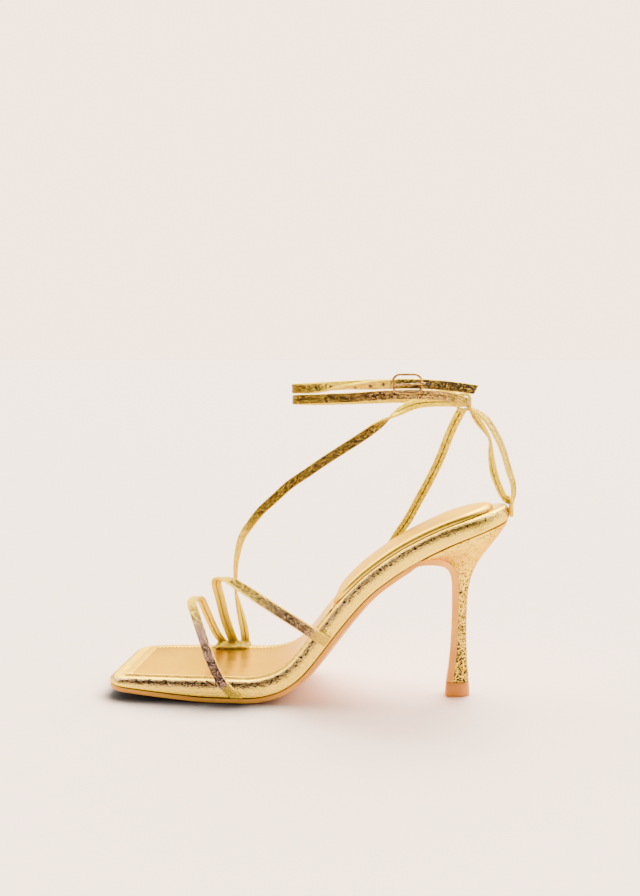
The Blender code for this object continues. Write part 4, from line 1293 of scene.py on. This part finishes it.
# %% Bend the loop
loop_x = STRAP_THICK + 1.5 * LOOP_CLEAR + LOOP_WALL / 2
loop_z = STRAP_WIDTH / 2 + 1.6 * LOOP_CLEAR + LOOP_WALL / 2
loop_middle = ankle_place(*LOOP_PLACE)
loop_spine = [
    (loop_middle + offset, face)
    for offset, face in round_corners(loop_x, loop_z, LOOP_ROUND * loop_x)]
sweep_strap(
    "strap_loop", loop_spine, "back_straps", width=LOOP_WIDTH, thick=LOOP_WALL, wrapped=True)

# %% Waist and heel straps
waist_low, waist_high = lap_ends(WAIST_LAP, 1)
waist_foot = loop_middle + Vector((*WAIST_FOOT, -loop_z - LOOP_JOIN))
waist_path = [[*waist_low.lerp(waist_high, share), 90.0, 0.0] for share in (0, 0.5, 1)]
waist_path += ankle_rows(WAIST_STRAP) + [[*waist_foot, 92.0, 0.0]]
waist_spine = turned_spine(waist_path)
# Painted reflection: dark grains all along the strap, partly wear and partly a dark reflection.
sweep_strap("strap_waist", waist_spine, wear=((0, 0.9),))


def heel_strap_path(side, table):
    """Rows of a heel strap, lapped over the back wall of the seat."""
    point, normal = sole_frame(REAR_REACH)
    back = Vector((normal.z, 0, -normal.x))
    depth = LAP_GAP + GAP / 2 + STRAP_THICK / 2
    swing = HEEL_LAP_SIDE / seat_round
    inset = seat_round * (1 - math.cos(swing))
    turn = 180.0 - math.degrees(swing)
    wall = wall_height(REAR_REACH)
    path = []
    for height in (LAP_END, 0.5 * wall, wall):
        place = point + normal * height + back * (depth * math.cos(swing) - inset)
        place.y = side * (HEEL_LAP_SIDE + depth * math.sin(swing))
        path.append([*place, side * turn, 0.0])
    foot = loop_middle + Vector((
        loop_x + LOOP_JOIN, side * HEEL_FOOT_SIDE, -HEEL_FOOT_DROP * loop_z))
    return path + ankle_rows(table) + [[*foot, side * 165.0, 0.0]]


near_heel_spine = turned_spine(heel_strap_path(-1, NEAR_HEEL_STRAP))
far_heel_spine = turned_spine(heel_strap_path(1, FAR_HEEL_STRAP))
# Painted reflection: dark grains all along both heel straps, partly wear and partly a dark
# reflection.
sweep_strap(
    "strap_heel_near", near_heel_spine, turned=(-1, 2), wear=((0, 0.7),),
    blush=((0, 0.2), (0.6, 0.5), (1, 0.8)))
sweep_strap("strap_heel_far", far_heel_spine, wear=((0, 0.8),))

# %% Buckle strap
BUCKLE_STRAP_WIDTH = 4.7 * MM
BUCKLE_STRAP_THICK = 1.4 * MM
buckle_spine = turned_spine(ankle_rows(BUCKLE_STRAP))
sweep_strap(
    "strap_buckle", buckle_spine, "buckle_strap", width=BUCKLE_STRAP_WIDTH,
    thick=BUCKLE_STRAP_THICK)

# %% [markdown]
# ## Buckle
#
# The frame is one bent wire. The prong is a second wire that is curled round
# the bar at the back and thins toward its tip, which rests on the front bar.

# %% Bend the wires
BUCKLE_LENGTH = 16.6 * MM
BUCKLE_HEIGHT = 11.0 * MM
BUCKLE_WIRE = 1.3 * MM
BUCKLE_CORNER = 4.2 * MM
PRONG_WIRE = 1.2 * MM
WIRE_SIDES = 16
BUCKLE_PLACE = -0.275

PRONG = [
    # along, lift, drop
    (1.108, -0.1, -0.16),
    (1.06, 0.75, -0.16),
    (0.843, 1, -0.08),
    (0.4, 0.85, 0.16),
    (-0.5, 0.95, 0.5),
    (-1.036, 1, 0.75),
]


def circle(centre, one, other, radius, sides):
    """Ring of points round a centre, in the plane of two directions."""
    angles = [2 * math.pi * k / sides for k in range(sides)]
    return [
        centre + (one * math.cos(angle) + other * math.sin(angle)) * radius
        for angle in angles]


def wire(name, points, radii, wrapped):
    """Round wire through points, each with its own radius."""
    rings = []
    count = len(points)
    for i, (point, radius) in enumerate(zip(points, radii)):
        before = points[i - 1] if wrapped or i else point
        after = points[(i + 1) % count] if wrapped or i < count - 1 else point
        run = (after - before).normalized()
        side = run.cross(Vector((0, 1, 0))).normalized()
        rings.append(circle(point, side, side.cross(run), radius, WIRE_SIDES))
    return skin(name, rings, buckle_gold, wrapped=wrapped, angle=60)


near_side = [row for row in UPPER_TURN if row[1] < 0]
buckle_row = min(near_side, key=lambda row: abs(row[0] - BUCKLE_PLACE))
buckle_middle = ankle_place(*buckle_row[:3])
buckle_middle.x = BUCKLE_PLACE * ANKLE_LENGTH
buckle_middle.y -= STRAP_THICK / 2 + GAP + BUCKLE_WIRE / 2
half_x = (BUCKLE_LENGTH - BUCKLE_WIRE) / 2
half_z = (BUCKLE_HEIGHT - BUCKLE_WIRE) / 2
frame_points = [
    buckle_middle + offset for offset, _ in round_corners(half_x, half_z, BUCKLE_CORNER)]
buckle_frame = wire("buckle_ring", frame_points, [BUCKLE_WIRE / 2] * len(frame_points), True)
settle(buckle_frame, "gold_metal", "buckle_frame")

lift = (BUCKLE_WIRE + PRONG_WIRE) / 2 + GAP
prong_rows = [
    [*(buckle_middle + Vector((
        along * BUCKLE_LENGTH / 2, -out * lift, -drop * PRONG_WIRE)))]
    for along, out, drop in PRONG]
prong_points = [Vector(row) for row in spline_points(prong_rows, 0.5 * MM)]
prong_last = len(prong_points) - 1
prong_radii = [
    PRONG_WIRE / 2 * (1 - 0.25 * i / prong_last) * math.sqrt(min(1, (prong_last - i + 0.6) / 2.5))
    for i in range(prong_last + 1)]
prong = wire("buckle_pin", prong_points, prong_radii, False)
settle(prong, "gold_metal", "buckle_prong")

# %% [markdown]
# ## Stitches and punched holes
#
# Stitches repeat along a line, so Geometry Nodes set them. The tree turns a
# line of points into a curve, resamples it at the stitch's pitch and puts one
# unit at each point. The unit lies along the line, and its top follows the
# stored `facing`.


# %% A tree that repeats a unit along a line
def repeat_tree(name):
    """Put a unit along a line: inputs for the line, unit, pitch and material."""
    tree = bpy.data.node_groups.new(name, "GeometryNodeTree")
    tree.is_modifier = True
    for title, kind in (
            ("Line", "Geometry"), ("Unit", "Object"), ("Pitch", "Float"),
            ("Finish", "Material")):
        tree.interface.new_socket(title, in_out="INPUT", socket_type="NodeSocket" + kind)
    tree.interface.new_socket("Row", in_out="OUTPUT", socket_type="NodeSocketGeometry")
    given = tree.nodes.new("NodeGroupInput").outputs
    line, item, pitch, finish_in = (
        Shade(tree, given[title]) for title in ("Line", "Unit", "Pitch", "Finish"))
    add = line.node
    curve = add("GeometryNodeMeshToCurve", Mesh=line)
    spaced = add("GeometryNodeResampleCurve", {"mode": "LENGTH"}, Curve=curve, Length=pitch)
    top = add(
        "GeometryNodeInputNamedAttribute", {"data_type": "FLOAT_VECTOR"},
        output="Attribute", Name="facing")
    upright = add("FunctionNodeAlignRotationToVector", {"axis": "Z"}, Vector=top)
    along = add(
        "FunctionNodeAlignRotationToVector", {"axis": "X", "pivot_axis": "Z"},
        Rotation=upright, Vector=add("GeometryNodeInputTangent"))
    unit = add("GeometryNodeObjectInfo", output="Geometry", Object=item)
    placed = add("GeometryNodeInstanceOnPoints", Points=spaced, Instance=unit, Rotation=along)
    real = add("GeometryNodeRealizeInstances", Geometry=placed)
    shaded = add("GeometryNodeSetMaterial", Geometry=real, Material=finish_in)
    shaded.feed(tree.nodes.new("NodeGroupOutput").inputs["Row"], shaded)
    return tree


def repeated(name, tree, lines, unit, pitch, finish):
    """Run the tree on lines of points with facings and keep a plain mesh."""
    points = []
    edges = []
    faces = []
    for line in lines:
        first = len(points)
        points += [place for place, _ in line]
        faces += [direction for _, direction in line]
        edges += [(first + i, first + i + 1) for i in range(len(line) - 1)]
    mesh = bpy.data.meshes.new(name + "_line")
    mesh.from_pydata(points, edges, [])
    layer = mesh.attributes.new("facing", "FLOAT_VECTOR", "POINT")
    layer.data.foreach_set("vector", np.array(faces, np.float32).ravel())
    guide = new_object(name + "_line", mesh)
    modifier = guide.modifiers.new("repeat", "NODES")
    modifier.node_group = tree
    keys = {item.name: item.identifier for item in tree.interface.items_tree
            if item.item_type == "SOCKET" and item.in_out == "INPUT"}
    modifier[keys["Unit"]] = unit
    modifier[keys["Pitch"]] = pitch
    modifier[keys["Finish"]] = finish
    graph = bpy.context.evaluated_depsgraph_get()
    made = bpy.data.meshes.new_from_object(guide.evaluated_get(graph))
    made.name = name
    made.shade_smooth()
    bpy.data.objects.remove(guide)
    return new_object(name, made)


STITCH_LENGTH = 1.5 * MM
STITCH_THICK = 0.34 * MM
STITCH_PITCH = 2.1 * MM
STITCH_SIDES = 8
STITCH_DIP = 0.12 * MM
STITCH_SHAPE = (
    (-0.5, 0.35), (-0.4, 0.85), (-0.15, 1.0), (0.15, 1.0), (0.4, 0.85), (0.5, 0.35))
RIGHT, BACK, UP = (Vector(axis) for axis in ((1, 0, 0), (0, 1, 0), (0, 0, 1)))
stitch_rings = [
    circle(Vector((share * STITCH_LENGTH, 0, -STITCH_DIP * (2 * share) ** 2)), BACK, UP,
           radius * STITCH_THICK / 2, STITCH_SIDES)
    for share, radius in STITCH_SHAPE]
stitch = skin("stitch_unit", stitch_rings, gold_thread, angle=70)
repeat = repeat_tree("repeat_along_line")


# %% Stitch the border of the sock
STITCH_END = -96 * MM
STITCH_NEAR = 11 * MM
STITCH_SINK = 0.05 * MM
stitch_line = [
    (on_sole(x, y, sock_top(x) - STITCH_SINK), sole_frame(x)[1])
    for x, y in sock_layers[5][0] if x < STITCH_END and y > STITCH_NEAR - near_width(x)]
stitch_line.sort(key=lambda pair: (pair[0].x > sock_stations[3] + 5 * MM, pair[0].x, pair[0].y))
sock_stitches = repeated(
    "sock_stitches", repeat, [stitch_line], stitch, STITCH_PITCH, gold_thread)
settle(sock_stitches, "satin_sock")

# %% Punched holes of the tail
HOLE_PITCH = 7.6 * MM
HOLE_WIDTH = 1.5 * MM
HOLE_FIRST = -0.549 * ANKLE_LENGTH
HOLE_COUNT = 6
HOLE_SIDES = 16
HOLE_GUIDE = 0.2 * MM
HOLE_SHAPE = (
    (0.02, 0.02), (0.75, 0.02), (0.95, 0.10), (1.15, 0.06), (1.2, -0.1), (0.02, -0.1))
hole_rings = [
    circle(UP * rise * MM, RIGHT, BACK, radius * HOLE_WIDTH / 2, HOLE_SIDES)
    for radius, rise in HOLE_SHAPE]
hole = skin("hole_unit", hole_rings, gold_thread, angle=70)
tail_part = ankle_spine[-90:]
hole_lines = []
for k in range(HOLE_COUNT):
    target = HOLE_FIRST + k * HOLE_PITCH
    i = min(range(1, len(tail_part) - 1), key=lambda n: abs(tail_part[n][0].x - target))
    point, face = tail_part[i]
    run = (tail_part[i + 1][0] - tail_part[i - 1][0]).normalized()
    out = (face - run * face.dot(run)).normalized()
    place = point + out * (STRAP_THICK / 2)
    hole_lines.append([(place, out), (place + run * HOLE_GUIDE, out)])
# Painted shade: each hole is a flat dark unit standing in for the shade inside it.
holes = repeated("punched_holes", repeat, hole_lines, hole, 1.0 * MM, hole_painted_shade)
settle(holes, "strap_foil")

# %% [markdown]
# ## Floor and studio
#
# The room is pale. The floor, the back and the ceiling are bright, and so is
# a low strip on the near side. Above that strip the near side is dim, and
# foil that tips upward mirrors it, which gives the sandal its dark bands,
# together with the painted dark reflection in the foil. A wide sun from above
# and behind sets soft shadows. A painted shadow darkens the colour of the
# floor's paper where the forefoot stands close over it, up to `SHADE_END`.

# %% Floor, world and sun
FLOOR_COLOUR = (0.86, 0.668, 0.535)
PAINTED_SHADOW_COLOUR = (0.035, 0.033, 0.033)
BACKDROP_COLOUR = (0.99, 0.71, 0.55)
ROOM_COLOUR = (0.98, 0.90, 0.84)
DIM_COLOUR = (0.02, 0.016, 0.014)
ROOM_GLOW = 5.0

FLOOR_REACH = 60.0
FLOOR_DROP = 0.05 * MM
FLOOR_ROUGH = 0.9
SHADE_REACH = 35 * MM
SHADE_END = (-118 * MM, -85 * MM)

floor_material, floor_place, floor_shader = new_material("floor_paper")
toward_shoe = floor_place.node("ShaderNodeCombineXYZ", X=0.0, Y=0.75, Z=0.66)
near = floor_place.node(
    "ShaderNodeAmbientOcclusion", {"samples": 12}, output="AO", Distance=SHADE_REACH,
    Normal=toward_shoe)
place_x = floor_place.node("ShaderNodeSeparateXYZ", output="X", Vector=floor_place)
# Painted shadow: the floor's base colour turns dark where the AO node finds the forefoot close
# above.
painted_shadow = (1.0 - near.step(0.56, 0.93)) * (1.0 - place_x.step(*SHADE_END) * 0.95)
floor_place.feed(
    floor_shader.inputs["Base Color"], painted_shadow.mix(FLOOR_COLOUR, PAINTED_SHADOW_COLOUR))
floor_shader.inputs["Roughness"].default_value = FLOOR_ROUGH
floor_mesh = bpy.data.meshes.new("floor")
floor_mesh.from_pydata(
    [(x * FLOOR_REACH, y * FLOOR_REACH, -FLOOR_DROP)
     for x, y in ((-1, -1), (1, -1), (1, 1), (-1, 1))],
    [], [(0, 1, 2, 3)])
floor_mesh.materials.append(floor_material)
floor = new_object("floor", floor_mesh)

world = bpy.data.worlds.new("studio")
bpy.context.scene.world = world
world.use_nodes = True
room = Shade(world.node_tree)
background = world.node_tree.nodes["Background"]
toward = room.node("ShaderNodeTexCoord", output="Generated")
toward_y, toward_z = (
    toward.node("ShaderNodeSeparateXYZ", output=axis, Vector=toward) for axis in "YZ")
dim = (1.0 - toward_y.step(-0.20, 0.25)) * toward_z.step(0.02, 0.28)
seen = room.node("ShaderNodeLightPath", output="Is Camera Ray")
lit = dim.mix(ROOM_COLOUR, DIM_COLOUR)
glow = 0.9 + toward_z.step(0.25, 0.65) * 1.1
bright = room.node("ShaderNodeVectorMath", {"operation": "SCALE"}, Vector=lit, Scale=glow)
room.feed(background.inputs["Color"], seen.mix(bright, BACKDROP_COLOUR))
background.inputs["Strength"].default_value = ROOM_GLOW

SUN_POWER = 6.5
SUN_WIDTH = math.radians(32)
SUN_TILT = (math.radians(-40), math.radians(10), 0)

sun_data = bpy.data.lights.new("soft_sun", "SUN")
sun_data.energy = SUN_POWER
sun_data.angle = SUN_WIDTH
sun = new_object("soft_sun", sun_data)
sun.rotation_euler = SUN_TILT

# %% [markdown]
# ## Finish
#
# The units that the stitches and holes were copied from are removed.

# %% Finish
for helper in (stitch, hole):
    bpy.data.objects.remove(helper)
